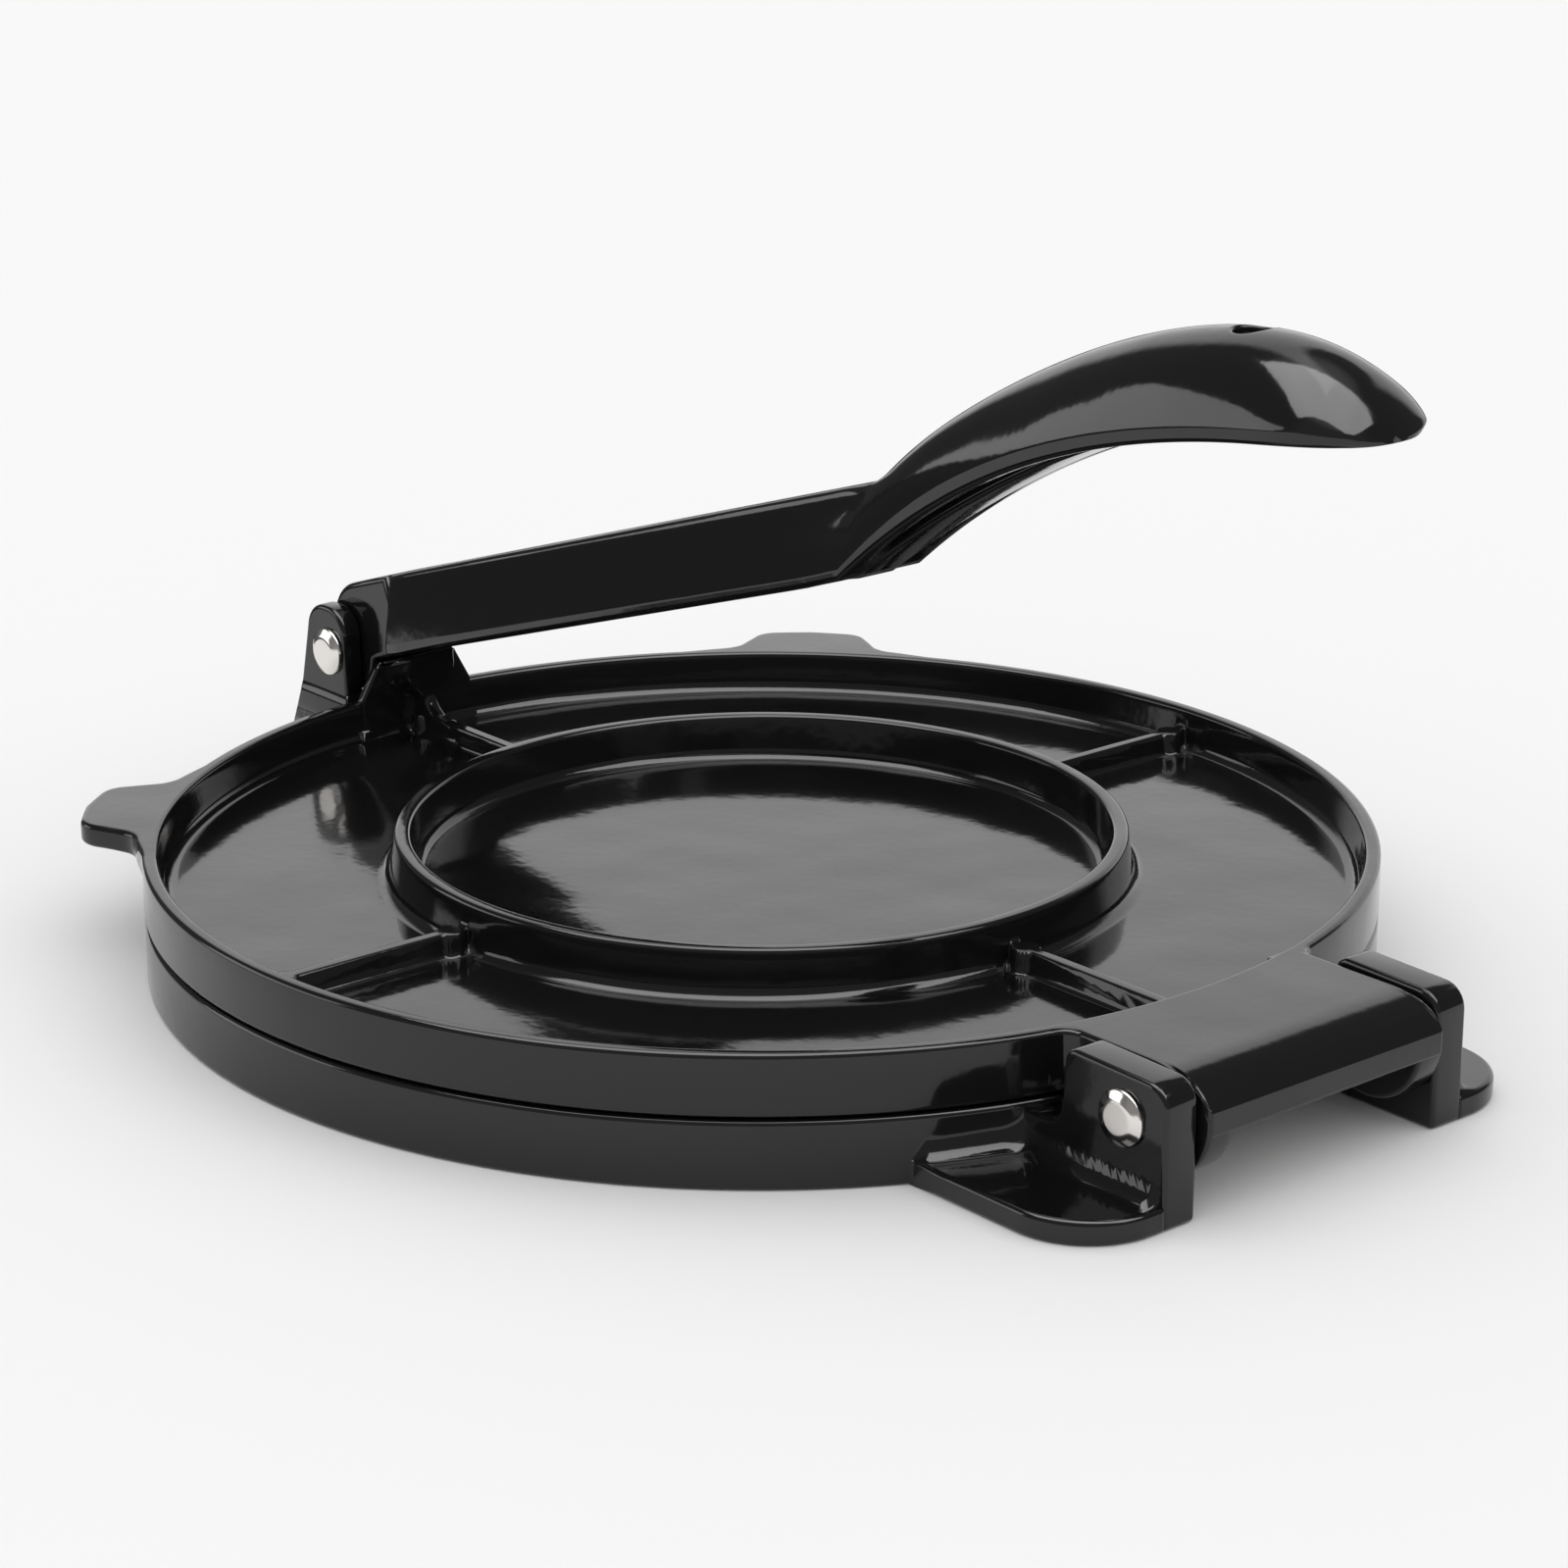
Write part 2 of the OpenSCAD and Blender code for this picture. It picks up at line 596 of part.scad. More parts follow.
// Bar: a rounded section that ends upright beside the bracket and runs on into the handle
module lever_bar() {
    h = bar_over + bar_under;
    intersection() {
        front_slab(rounded([for (p = [[1, 1], [-1, 1], [-1, -1], [1, -1]])
            [p.x * bar_w / 2, (bar_over - bar_under) / 2 + p.y * h / 2, bar_edge]]),
            bar_start - 6, grip_start + BAR_TAIL + 1);
        // Side view: an upright end, and the handle's lower edge at the far end
        side_slab(concat(
            [for (v = [bar_over + 1, -bar_under - 1]) [bar_start + v * tan(lever_angle), v]],
            [[edge_root.x, -bar_under - 1]],
            [for (i = [0 : 5]) bow(edge_bow, HOLLOW_FROM * i / 5)],
            [[grip_start + BAR_TAIL, bar_over + 1]]), -bar_w, bar_w);
    }
}

module press_lever() {
    color(COAT) translate([pivot_x, 0, pivot_z]) rotate([0, -lever_angle, 0]) difference() {
        union() {
            lever_eye();
            lever_bar();
            grip_shell();
            keel();
        }
        cross_bore(0, 0, bore_r, -bar_w, bar_w);
        translate([grip_start + hang_at, 0, bar_over]) rotate([0, lever_angle, 0])
            cylinder(d = hang_d, h = 40, center = true, $fn = 48);
    }
}

/* Rivets */

// Rivet along Y with a domed head at both ends, which grip faces at -y and +y
module rivet(x, z, y) {
    head = head_d / 2;
    dome = [[head, y, 0], [head, y + head_h * 0.45, 0.4], [head * 0.62, y + head_h, 1.4], [0, y + head_h, 0]];
    translate([x, 0, z]) rotate([90, 0, 0]) rotate_extrude() polygon(rounded(concat(
        [[rivet_d / 2, y, 0]], dome, [for (p = flip(dome)) [p.x, -p.y, p.z]], [[rivet_d / 2, -y, 0]])));
}

module hinge_rivet() {
    color(NICKEL) rivet(hinge_x, hinge_z, ear_out);
}

module lever_rivet() {
    color(NICKEL) rivet(pivot_x, pivot_z, clevis_out);
}

base_plate();
top_plate();
press_lever();
hinge_rivet();
lever_rivet();
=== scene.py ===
# %% [markdown]
# # A tortilla press in cast aluminium
#
# The press is three glossy black castings and two nickel rivets: a base plate, a top plate that
# hinges on it, and a lever with a hand-shaped handle that bears on a ramp of the top plate.
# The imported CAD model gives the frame, with the bodies that move. Every casting is drawn again here
# as a surface worked out with numpy, because a high gloss shows each facet, and because real castings
# have a fillet at every corner and a small radius on every edge.

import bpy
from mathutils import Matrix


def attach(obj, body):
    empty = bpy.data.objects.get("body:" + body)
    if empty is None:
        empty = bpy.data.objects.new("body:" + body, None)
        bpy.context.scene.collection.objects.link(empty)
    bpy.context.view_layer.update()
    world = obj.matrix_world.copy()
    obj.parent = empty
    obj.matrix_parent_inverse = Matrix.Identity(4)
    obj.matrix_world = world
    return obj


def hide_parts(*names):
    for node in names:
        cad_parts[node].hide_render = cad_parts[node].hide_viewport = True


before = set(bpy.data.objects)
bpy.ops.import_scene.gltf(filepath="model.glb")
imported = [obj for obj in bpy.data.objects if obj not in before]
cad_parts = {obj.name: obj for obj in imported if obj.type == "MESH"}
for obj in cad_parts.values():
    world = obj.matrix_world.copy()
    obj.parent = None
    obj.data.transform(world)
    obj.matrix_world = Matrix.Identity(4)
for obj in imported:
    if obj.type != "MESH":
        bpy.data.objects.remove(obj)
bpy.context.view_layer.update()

import math

import bmesh
import bpy
import numpy as np

print("nodes:", sorted(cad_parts))

# %% [markdown]
# ## Sizes
#
# The sizes are those of the CAD model, in millimetres. The origin is the plates' centre on the
# table, X runs to the plate hinge, and the lever pivots at the other end.

# %% Sizes in millimetres
MM = 0.001
PLATE_R = 105.0
RIM_W = 2.6
RING_R, RING_W = 62.6, 2.7
FLOOR_T = 2.8
BASE_H = 11.3
PRESS_Z = 11.7
TOP_H = 10.3
DRAFT = 0.11
FILLET, EDGE = 2.2, 0.9
RIM_Z = PRESS_Z + TOP_H
RIM_IN = PLATE_R - RIM_W
HINGE_X, HINGE_Z = 120.7, 15.5
PIVOT_X, PIVOT_Z = -111.8, 29.8
LEVER_ANGLE = math.radians(18)
print(f"the shut plates stand {RIM_Z} mm high and are {2 * PLATE_R} mm across")

# %% [markdown]
# ## Tools for making surfaces
#
# A surface is a grid of points, worked out as one numpy array with rows and columns. The same small
# function turns every grid into faces. Castings have rounded corners in every section, so the other
# tool is one that rounds the corners of whole stacks of sections at once.

# %% Rounded corners
def unit(v):
    """Each vector divided by its length."""
    return v / np.maximum(np.linalg.norm(v, axis=-1, keepdims=True), 1e-12)


def rounded(corners, radii, steps=6):
    """Replaces each corner of closed outlines by an arc.

    The arc of radius r touches both sides of the corner at r / tan(half) from it, and its centre is
    on the bisector at r / sin(half), where half is half the angle between the sides. Points turn
    evenly from one side to the other. The leading axes of corners hold any number of outlines.
    """
    b = np.asarray(corners, float)
    r = np.maximum(np.broadcast_to(radii, b.shape[:-1]), 1e-4)[..., None]
    u = unit(np.roll(b, 1, axis=-2) - b)
    v = unit(np.roll(b, -1, axis=-2) - b)
    half = np.arccos(np.clip((u * v).sum(-1, keepdims=True), -1, 1)) / 2
    centre = b + unit(u + v) * r / np.sin(half)
    p = b + u * r / np.tan(half) - centre
    q = b + v * r / np.tan(half) - centre
    turn = (math.pi - 2 * half)[..., None, :]
    t = np.linspace(0, 1, steps + 1)[:, None]
    p, q, centre = (w[..., None, :] for w in (p, q, centre))
    flat = np.abs(np.sin(turn)) < 1e-3
    safe = np.where(flat, 1, np.sin(turn))
    arc = np.where(flat, p + (q - p) * t, (np.sin((1 - t) * turn) * p + np.sin(t * turn) * q) / safe)
    return (centre + arc).reshape(*b.shape[:-2], -1, 2)


def outline(*corners, steps=8):
    """One closed outline from corners (x, y, radius), without its repeated points."""
    c = np.array(corners, float)
    points = rounded(c[:, :2], c[:, 2], steps)
    apart = np.linalg.norm(points - np.roll(points, 1, axis=0), axis=1) > 1e-3
    return points[apart]


def inset(points, distance):
    """A closed outline moved inwards: each point goes along the mean of its two sides' normals."""
    ahead = unit(np.roll(points, -1, axis=0) - points)
    behind = np.roll(ahead, 1, axis=0)
    left = np.stack([-ahead[:, 1], ahead[:, 0]], 1)
    before = np.stack([-behind[:, 1], behind[:, 0]], 1)
    mean = left + before
    return points + mean * (2 * distance / np.maximum((mean**2).sum(1, keepdims=True), 0.5))


print("a rounded square has", len(outline((0, 0, 1), (4, 0, 1), (4, 4, 1), (0, 4, 1))), "points")

# %% [markdown]
# A casting is several closed shells that grow out of each other. Each shell is kept as points and
# faces, and one object is made of all of them. Doubled points, such as those at a pole, are merged.

# %% Grids and shells
def grid_faces(rows, columns, wrap_rows=False, wrap_columns=False):
    """Index quads of a grid: each cell takes its own point, the next column's and the next row's."""
    i = np.arange(rows if wrap_rows else rows - 1)[:, None]
    j = np.arange(columns if wrap_columns else columns - 1)[None, :]
    k, m = (i + 1) % rows, (j + 1) % columns
    quads = [i * columns + j, i * columns + m, k * columns + m, k * columns + j]
    return np.stack([np.broadcast_to(q, (i.size, j.size)) for q in quads], -1).reshape(-1, 4)


def shell(points, wrap_rows=False, wrap_columns=True, caps=False, gaps=()):
    """A grid of points (rows, columns, 3) as (points, faces); caps closes its first and last row.

    Cells inside a gap (first row, last row, first column, last column) are left out.
    """
    rows, columns = points.shape[:2]
    quads = grid_faces(rows, columns, wrap_rows, wrap_columns)
    row, column = quads[:, 0] // columns, quads[:, 0] % columns
    for r0, r1, c0, c1 in gaps:
        quads[(row >= r0) & (row < r1) & (column >= c0) & (column < c1)] = -1
    faces = quads[quads[:, 0] >= 0].tolist()
    if caps:
        first = np.arange(columns)
        faces += [first[::-1].tolist(), (first + (rows - 1) * columns).tolist()]
    return points.reshape(-1, 3), faces


def outward(part):
    """The same shell, with its faces turned round if the volume they enclose is negative."""
    points, faces = part
    fans = np.array([(f[0], b, c) for f in faces for b, c in zip(f[1:-1], f[2:])])
    a, b, c = points[fans[:, 0]], points[fans[:, 1]], points[fans[:, 2]]
    return (points, [f[::-1] for f in faces]) if (a * np.cross(b, c)).sum() < 0 else part


print("a grid of 3 by 4 points has", len(grid_faces(3, 4)), "faces")

# %% Slabs and pieces
def slab(points, low, high, edge, steps=5, place=lambda p, h: np.c_[p, h], support=0.12):
    """An outline given a thickness, with both edges rounded to the radius edge.

    Going up, the outline starts inset by the edge radius, follows a quarter circle out to its full
    size, runs straight, and comes back the same way. place says where outline and height lie.
    """
    a = np.linspace(0, math.pi / 2, steps + 1)
    out, up = edge * (1 - np.sin(a)), edge * (1 - np.cos(a))
    ins = np.r_[edge + support, out, out[::-1], edge + support]
    heights = np.r_[low, low + up, high - up[::-1], high]
    rings = np.stack([place(inset(points, d), np.full(len(points), h)) for d, h in zip(ins, heights)])
    return shell(rings, caps=True)


def side_view(p, h):
    """Places an outline drawn in X and Z at the depth h along Y."""
    return np.c_[p[:, 0], h, p[:, 1]]


def piece(name, parts, body, slot, *nodes):
    """One smooth Blender object of several shells, in metres, that rides on a body."""
    parts = [outward(part) for part in parts]
    counts = np.cumsum([0] + [len(p) for p, _ in parts])
    points = np.concatenate([p for p, _ in parts]) * MM
    faces = [[i + int(n) for i in face] for n, (_, fs) in zip(counts, parts) for face in fs]
    mesh = bpy.data.meshes.new(name)
    mesh.from_pydata(points.tolist(), [], faces)
    obj = bpy.data.objects.new(name, mesh)
    bpy.context.scene.collection.objects.link(obj)
    work = bmesh.new()
    work.from_mesh(mesh)
    bmesh.ops.remove_doubles(work, verts=work.verts, dist=2e-7)
    work.to_mesh(mesh)
    work.free()
    mesh.shade_smooth()
    mesh.update()
    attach(obj, body)
    if nodes:
        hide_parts(*nodes)
    mesh.calc_loop_triangles()
    print(f"{name}: {len(mesh.vertices)} points, {len(mesh.loop_triangles)} triangles")
    return obj

# %% [markdown]
# ## The two plates
#
# Both plates are the same casting idea: a flat floor with a rim, a ring and four ribs, all with
# drafted walls and fillets. The side with the ribs is a relief, one height over each place, so it can
# be a grid of radii and angles. At the edge the section turns down the wall and back to the middle
# under the pressing face. Where the rim reaches out, as at a lift tab or the hinge cover, only the
# reach and the section's corners change with the angle, and the whole casting stays one skin.

# %% Sections of the relief
def chain(*corners, steps=6):
    """Heights along a line from rounded corners (place, height, radius), for np.interp."""
    c = np.array(corners, float)
    ends = np.array([[c[-1, 0] + 50, -900, 0], [c[0, 0] - 50, -900, 0]])
    c = np.vstack([c, ends])
    points = rounded(c[:, :2], c[:, 2], steps)[: (len(c) - 2) * (steps + 1)]
    keep = np.r_[True, np.diff(points[:, 0]) > 1e-6]
    return points[keep, 0], points[keep, 1]


def disc_chain(rim_h, ring_h):
    """The relief from the middle out: floor, drafted ring, floor, drafted rim."""
    ring_in, ring_rise = RING_R - RING_W, DRAFT * (ring_h - FLOOR_T)
    rim_rise = DRAFT * (rim_h - FLOOR_T)
    return chain(
        (0, FLOOR_T, 0), (ring_in - ring_rise, FLOOR_T, FILLET), (ring_in, ring_h, EDGE),
        (RING_R, ring_h, EDGE), (RING_R + ring_rise, FLOOR_T, FILLET),
        (RIM_IN - rim_rise, FLOOR_T, FILLET), (RIM_IN, rim_h, EDGE), (PLATE_R + 40, rim_h, 0),
    )


def smooth_step(t):
    """0 before 0, 1 after 1 and 3t^2 - 2t^3 between."""
    t = np.clip(t, 0, 1)
    return t * t * (3 - 2 * t)


def smooth_max(a, b, size):
    """The higher of two heights, with a fillet where they differ by less than size."""
    near = np.maximum(size - np.abs(a - b), 0) / size
    return np.maximum(a, b) + near**2 * size / 4


RIB_H, RIB_HALF, RIB_FOOT = FLOOR_T + 4.0, 1.2, 1.64
POST_R, POST_FOOT = 2.5, 2.8
POSTS_AT = (RING_R + 3.1, RIM_IN - 3.9)
RIB = chain(
    (0, RIB_H, 0), (RIB_HALF, RIB_H, 0.6), (RIB_FOOT, FLOOR_T, 1.5), (3.4, FLOOR_T, 0), (4.4, FLOOR_T - 1, 0)
)
POST = chain(
    (0, RIB_H, 0), (POST_R, RIB_H, 0.4), (POST_FOOT, FLOOR_T, 1), (4.2, FLOOR_T, 0), (5.2, FLOOR_T - 1, 0)
)


def relief(x, y, disc):
    """Height of a plate over (x, y): the highest of disc, ribs and posts."""
    r = np.hypot(x, y)
    height = np.interp(r, *disc)
    on_ribs = (r > RING_R - 1) & (r < RIM_IN + 0.5)
    across = np.minimum(np.abs(x), np.abs(y))
    along = np.maximum(np.abs(x), np.abs(y))
    rib = np.interp(across, *RIB)
    for at in POSTS_AT:
        rib = np.maximum(rib, np.interp(np.hypot(along - at, across), *POST))
    return np.where(on_ribs, smooth_max(height, rib, 0.3), height)


print("a rib's section has", len(RIB[0]), "points and a post's", len(POST[0]))

# %% Hollow corners and angles round a plate
def hollow(d, r):
    """Height of a concave corner of radius r at the distance d from its wall."""
    return r - np.sqrt(np.maximum(r**2 - np.clip(r - d, 0, r) ** 2, 0))


def degrees_apart(a, b):
    """The angle between two directions, from -180 to 180 degrees."""
    return (a - b + 180) % 360 - 180


def crowded(peaks, base=0.8):
    """Angles round a plate, close together where the casting has detail.

    A density per degree is the base plus each peak's own over (middle, half width, density), and the
    angles are read off its running total at even steps.
    """
    fine = np.arange(-180, 180, 0.02)
    density = np.full(fine.shape, base)
    for middle, half, extra in peaks:
        density[np.abs(degrees_apart(fine, middle)) < half] += extra
    total = np.cumsum(density)
    count = int(total[-1] * 0.02)
    return np.interp(np.arange(count) / count * total[-1], total, fine)


print("two peaks give", len(crowded([(0, 3.0, 5.5), (90, 3.0, 5.5)])), "angles")

# %% [markdown]
# The relief is only a height over each place, so a wall needs several rows of points close together,
# and the flat floor needs few. Beyond the rim's flat the rows follow the edge instead. They are given
# as corners to be rounded, and there the distance from the middle changes with the angle.

# %% One plate from its relief and its edge
FLAT_FROM = RIM_IN + EDGE + 0.1
PRESSING_R = 90.0


def slant(angle, reach):
    """How much shorter a radial distance is square to the edge: the cosine of the edge's slant."""
    slope = (reach(angle + 0.01) - reach(angle - 0.01)) / math.radians(0.02)
    return 1 / np.sqrt(1 + (slope / reach(angle)) ** 2)


def plate_skin(angles, height, disc, edge_r, edge_h):
    """A whole plate as rows of radii over columns of angles, with the pressing face at height 0.

    Rows run from the middle over the relief to the flat of the rim, then through the rows given for
    the edge, and back to the middle over the pressing face.
    """
    turn = np.radians(angles)
    inner = np.unique(np.r_[
        0, 20, 40, 52, disc[0][disc[0] < FLAT_FROM], np.arange(64.4, 69.6, 0.45),
        np.linspace(RING_R + 0.04, RING_R + 0.86, 6), np.linspace(RIM_IN - 0.8, RIM_IN - 0.04, 6),
        np.arange(70, 95, 3.2), np.arange(95.3, 101.2, 0.45), FLAT_FROM,
    ])
    radii = np.broadcast_to(inner[:, None], (inner.size, turn.size))
    top = height(radii * np.cos(turn), radii * np.sin(turn), disc)
    middle = np.broadcast_to([[PRESSING_R], [0.0]], (2, turn.size))
    r = np.concatenate([radii, edge_r, middle])
    h = np.concatenate([top, edge_h, 0 * middle])
    return np.stack([r * np.cos(turn), r * np.sin(turn), h], -1)


ARC_STEPS = 6


def edge_arcs(corners, radii, far, reach, shrink):
    """Rounded corners near an edge as rows of radii and heights.

    Each corner is (distance inside the edge, height); far is the same for a start and an end point,
    which are dropped again. Distances are shrunk square to the edge, rounded, and stretched back, so
    that an arc keeps its true radius where the edge runs slantwise.
    """
    places = [far[0], *corners, far[1]]
    corner = np.stack([np.stack(np.broadcast_arrays(-d * shrink, h), -1) for d, h in places], 1)
    radius = np.stack(np.broadcast_arrays(0 * reach, *radii, 0 * reach), -1)
    arcs = rounded(corner, radius, ARC_STEPS)[:, ARC_STEPS + 1:-ARC_STEPS - 1]
    return (reach[:, None] + arcs[..., 0] / shrink[:, None]).T, arcs[..., 1].T


print(f"the rim is flat from {FLAT_FROM} mm outwards")

# %% [markdown]
# ### The top plate
#
# Its rim swells into two lift tabs, has a small flat behind the ramp, and runs out over the hinge as
# a cover: flat, then a roll, then an upright lip. Seen from the plate's middle, each of these is one
# distance for each angle, so reach() can give them all.

# %% Reach of the top plate
TABS, TAB_AT = (135.2, -135.2), 114.6
TAB = rounded([(0, 12.7), (9.6, 11.8), (14.9, 1.9), (26, 0)], [0, 5, 6, 0], 8)
LIP_X, COVER_SIDE, COVER_CORNER = 131.5, 25.5, 4.0
FLAT_X, FLAT_HALF = 103.2, 8.8
CORNER_AT = math.sqrt((PLATE_R + COVER_CORNER) ** 2 - (COVER_SIDE + COVER_CORNER) ** 2)
COVER_ENDS = math.degrees(math.atan2(COVER_SIDE, CORNER_AT))
CORNER_ENDS = math.degrees(math.atan2(COVER_SIDE + COVER_CORNER, CORNER_AT))


def top_reach(angle):
    """Distance from the middle to the top plate's edge at each angle, in degrees.

    TAB says how far a lift tab reaches out at each distance from its own middle, along a circle of
    radius TAB_AT. The cover is the nearer of its lip and its side, blended at their corner.
    """
    reach = np.full(angle.shape, PLATE_R)
    for tab in TABS:
        off = TAB_AT * np.radians(np.abs(degrees_apart(angle, tab)))
        reach += np.interp(off, TAB[:, 0], TAB[:, 1])
    a = np.abs(degrees_apart(angle, 0))
    turn = np.radians(np.clip(a, 1e-3, 60))
    cover = -smooth_max(-LIP_X / np.cos(turn), -COVER_SIDE / np.sin(turn), 3.0)
    far = PLATE_R + COVER_CORNER
    off = np.radians(np.clip(a, COVER_ENDS, CORNER_ENDS) - CORNER_ENDS)
    corner = far * np.cos(off) - np.sqrt(np.maximum(COVER_CORNER**2 - (far * np.sin(off)) ** 2, 0))
    reach = np.where(a < CORNER_ENDS, np.where(a < COVER_ENDS, cover, corner), reach)
    back = np.radians(180 - a)
    flat = FLAT_X / np.cos(np.minimum(back, 0.3))
    return np.where(PLATE_R * np.sin(back) < FLAT_HALF, np.where(a > 90, flat, reach), reach)


print("the top plate reaches", np.round(top_reach(np.array([0.0, 90.0, TABS[0], 180.0])), 1), "mm")

# %% [markdown]
# Along its edge the top plate has three kinds of section: plain wall, tab and cover. They all get the
# same number of corners, so that rows meet rows. Where a section doesn't need a corner, the corner
# lies on a straight part of it, and its radius is nothing.

# %% Skin of the top plate
ROLL = chain(
    (60, TOP_H, 0), (LIP_X - 4.72, TOP_H, 11), (LIP_X, TOP_H - 4.5, 0), (LIP_X + 3, TOP_H - 7.4, 0),
    steps=12,
)


def top_height(x, y, disc):
    """Relief of the top plate, with the cover's roll beyond the rim."""
    return np.where(np.hypot(x, y) > PLATE_R - 1, np.interp(x, *ROLL), relief(x, y, disc))


def top_edge(angle, disc):
    """Rows from the rim's flat over a tab or the cover, round its corners, to the plate's wall."""
    reach, shrink = top_reach(angle), slant(angle, top_reach)
    turn = np.radians(angle)
    room = shrink * (reach - FLAT_FROM)
    round_top = np.minimum(EDGE, 0.7 * room)
    last = reach - (round_top + 0.25 * room.clip(0, 1.2)) / shrink
    r = FLAT_FROM + (last - FLAT_FROM) * np.linspace(0, 1, 19)[1:, None]
    h = top_height(r * np.cos(turn), r * np.sin(turn), disc)
    cover = np.abs(degrees_apart(angle, 0)) < CORNER_ENDS
    out = reach - np.minimum(reach, PLATE_R)
    lip = np.minimum(3.0, 0.35 * out)
    under = np.where(cover, 1.5, TOP_H - 4)
    ceiling = np.where(cover, 1.5 + 5.8 * smooth_step((out - 5) / 4), under - 0.03)
    small = out * shrink
    arc_r, arc_h = edge_arcs(
        [(0, top_height(reach * np.cos(turn), reach * np.sin(turn), disc)), (0, under),
         (np.where(cover, lip, out / 3), under - 0.01),
         (np.where(cover, lip + 0.01, out * 2 / 3), np.where(cover, ceiling + 0.01, under - 0.02)),
         (out, ceiling), (out, 0)],
        [round_top, np.minimum(EDGE, 0.3 * small), np.where(cover, np.minimum(EDGE, 0.12 * small), 0),
         np.where(cover, np.minimum(1.5, 0.1 * small), 0), np.minimum(1.2, 0.3 * small), EDGE],
        [(reach - last, h[-1]), (reach - PRESSING_R, 0)], reach, shrink,
    )
    return np.concatenate([r, arc_r]), np.concatenate([h, arc_h])


top_disc = disc_chain(TOP_H, TOP_H + 0.6)
top_angles = crowded(
    [(q, 3.0, 5.5) for q in (0, 90, 180, -90)] + [(t, 9.8, 3.0) for t in TABS]
    + [(s * 13.3, 3.0, 9.0) for s in (1, -1)] + [(180, 8.5, 2.5)]
)
top_skin = plate_skin(top_angles, top_height, top_disc, *top_edge(top_angles, top_disc))
print("the top plate's grid has", top_skin.shape[0], "rows and", top_skin.shape[1], "columns")

# %% [markdown]
# The rivet passes through two round cheeks under the cover's sides. They are flat bosses cast with
# the cover, so each is an outline in side view given a thickness.

# %% Cheeks
CHEEK_R, CHEEK_T, CHEEK_LOW = 10.8, 5.4, 12.7


def arc(x, z, r, start, end, count):
    """Points on a circle from one angle to another, in degrees."""
    a = np.radians(np.linspace(start, end, count))
    return np.stack([x + r * np.cos(a), z + r * np.sin(a)], 1)


web_turn = math.degrees(math.asin((HINGE_Z - CHEEK_LOW) / CHEEK_R))
cheek = np.concatenate([
    arc(HINGE_X, HINGE_Z, CHEEK_R, 180 + web_turn, 363, 40),
    [[130.6, 17.6], [128.6, 19.4], [125.5, 20.8], [122, 21.2], [99, 21.2], [99, CHEEK_LOW]],
])
cheeks = [
    slab(cheek, *sorted((side * (COVER_SIDE - CHEEK_T), side * (COVER_SIDE - 0.05))), 0.7, place=side_view)
    for side in (1, -1)
]
print("a cheek's outline has", len(cheek), "points")

# %% [markdown]
# The ramp that the lever bears on is a wedge with its back against the rim. Its outline is rounded at
# every level and the levels are stacked. Going up, the slim foot on the rib widens into the wedge
# like a funnel, the web at the back narrows, and the levels tilt until the last lies along the bar.

# %% Ramp and the top plate
RAMP_BACK, RAMP_FRONT, RAMP_TOP, RAMP_FOOT, RAMP_TILT = -103.17, -95.6, 31.5, 14.0, 0.408
FLOOR_Z = PRESS_Z + FLOOR_T
RAMP_EDGE, RAMP_FILLET = 0.7, 2.4


def ramp_line(top, *between, foot):
    """A line (place, height, radius) from the ramp's top to its foot, rounded, lowest point first."""
    c = np.array([(top, RAMP_TOP, 0), *between, (foot, RAMP_FOOT, 0)])
    return rounded(c[:, :2], c[:, 2], 10)[::-1]


def at_height(z, line):
    """The place of a line at a height."""
    return np.interp(z, line[:, 1], line[:, 0])


NOSE_X = ramp_line(RAMP_FRONT, (-97.1, 19.4, 4.5), (-89.0, 18.2, 4), foot=-84.0)
NOSE_Y = ramp_line(4.6, (5.4, 27.0, 2), (1.4, 22.4, 3), foot=1.3)
FLANK_Y = ramp_line(7.4, (6.8, 27.5, 3), (2.0, 22.6, 3), foot=1.6)
WEB_Y = ramp_line(7.7, (7.7, 30.0, 3), (12.5, 22.0, 1.5), foot=12.5)


def ramp_level(z, up, shrink=0.0):
    """One level: its outline, and heights that tilt more towards the top.

    Half the outline goes from the nose along the flank to the web. A point's height is the level's,
    less the tilt times its distance behind the front.
    """
    share = (z - RAMP_FOOT) / (RAMP_TOP - RAMP_FOOT)
    lost = RAMP_TILT * (RAMP_FRONT - RAMP_BACK)
    front, half, flank = (at_height(z, line) for line in (NOSE_X, NOSE_Y, FLANK_Y))
    web = at_height(z - lost * share, WEB_Y)
    wide = web - flank
    corners = np.array([(front, half), (-100.6, flank), (-100.9, web), (RAMP_BACK, web)])
    radii = np.array([0.9, min(2.4, 0.45 * wide), min(0.7, 0.45 * wide), 0.7])
    corners = np.concatenate([corners, corners[::-1] * [1, -1]])
    ring = rounded(corners, np.r_[radii, radii[::-1]], 7)
    ring = inset(ring, shrink - hollow(z - FLOOR_Z, RAMP_FILLET))
    ring[:, 0] = np.maximum(ring[:, 0], RAMP_BACK)
    height = z - up + RAMP_TILT * share * np.minimum(ring[:, 0] - RAMP_FRONT, 0)
    return np.c_[ring, height]


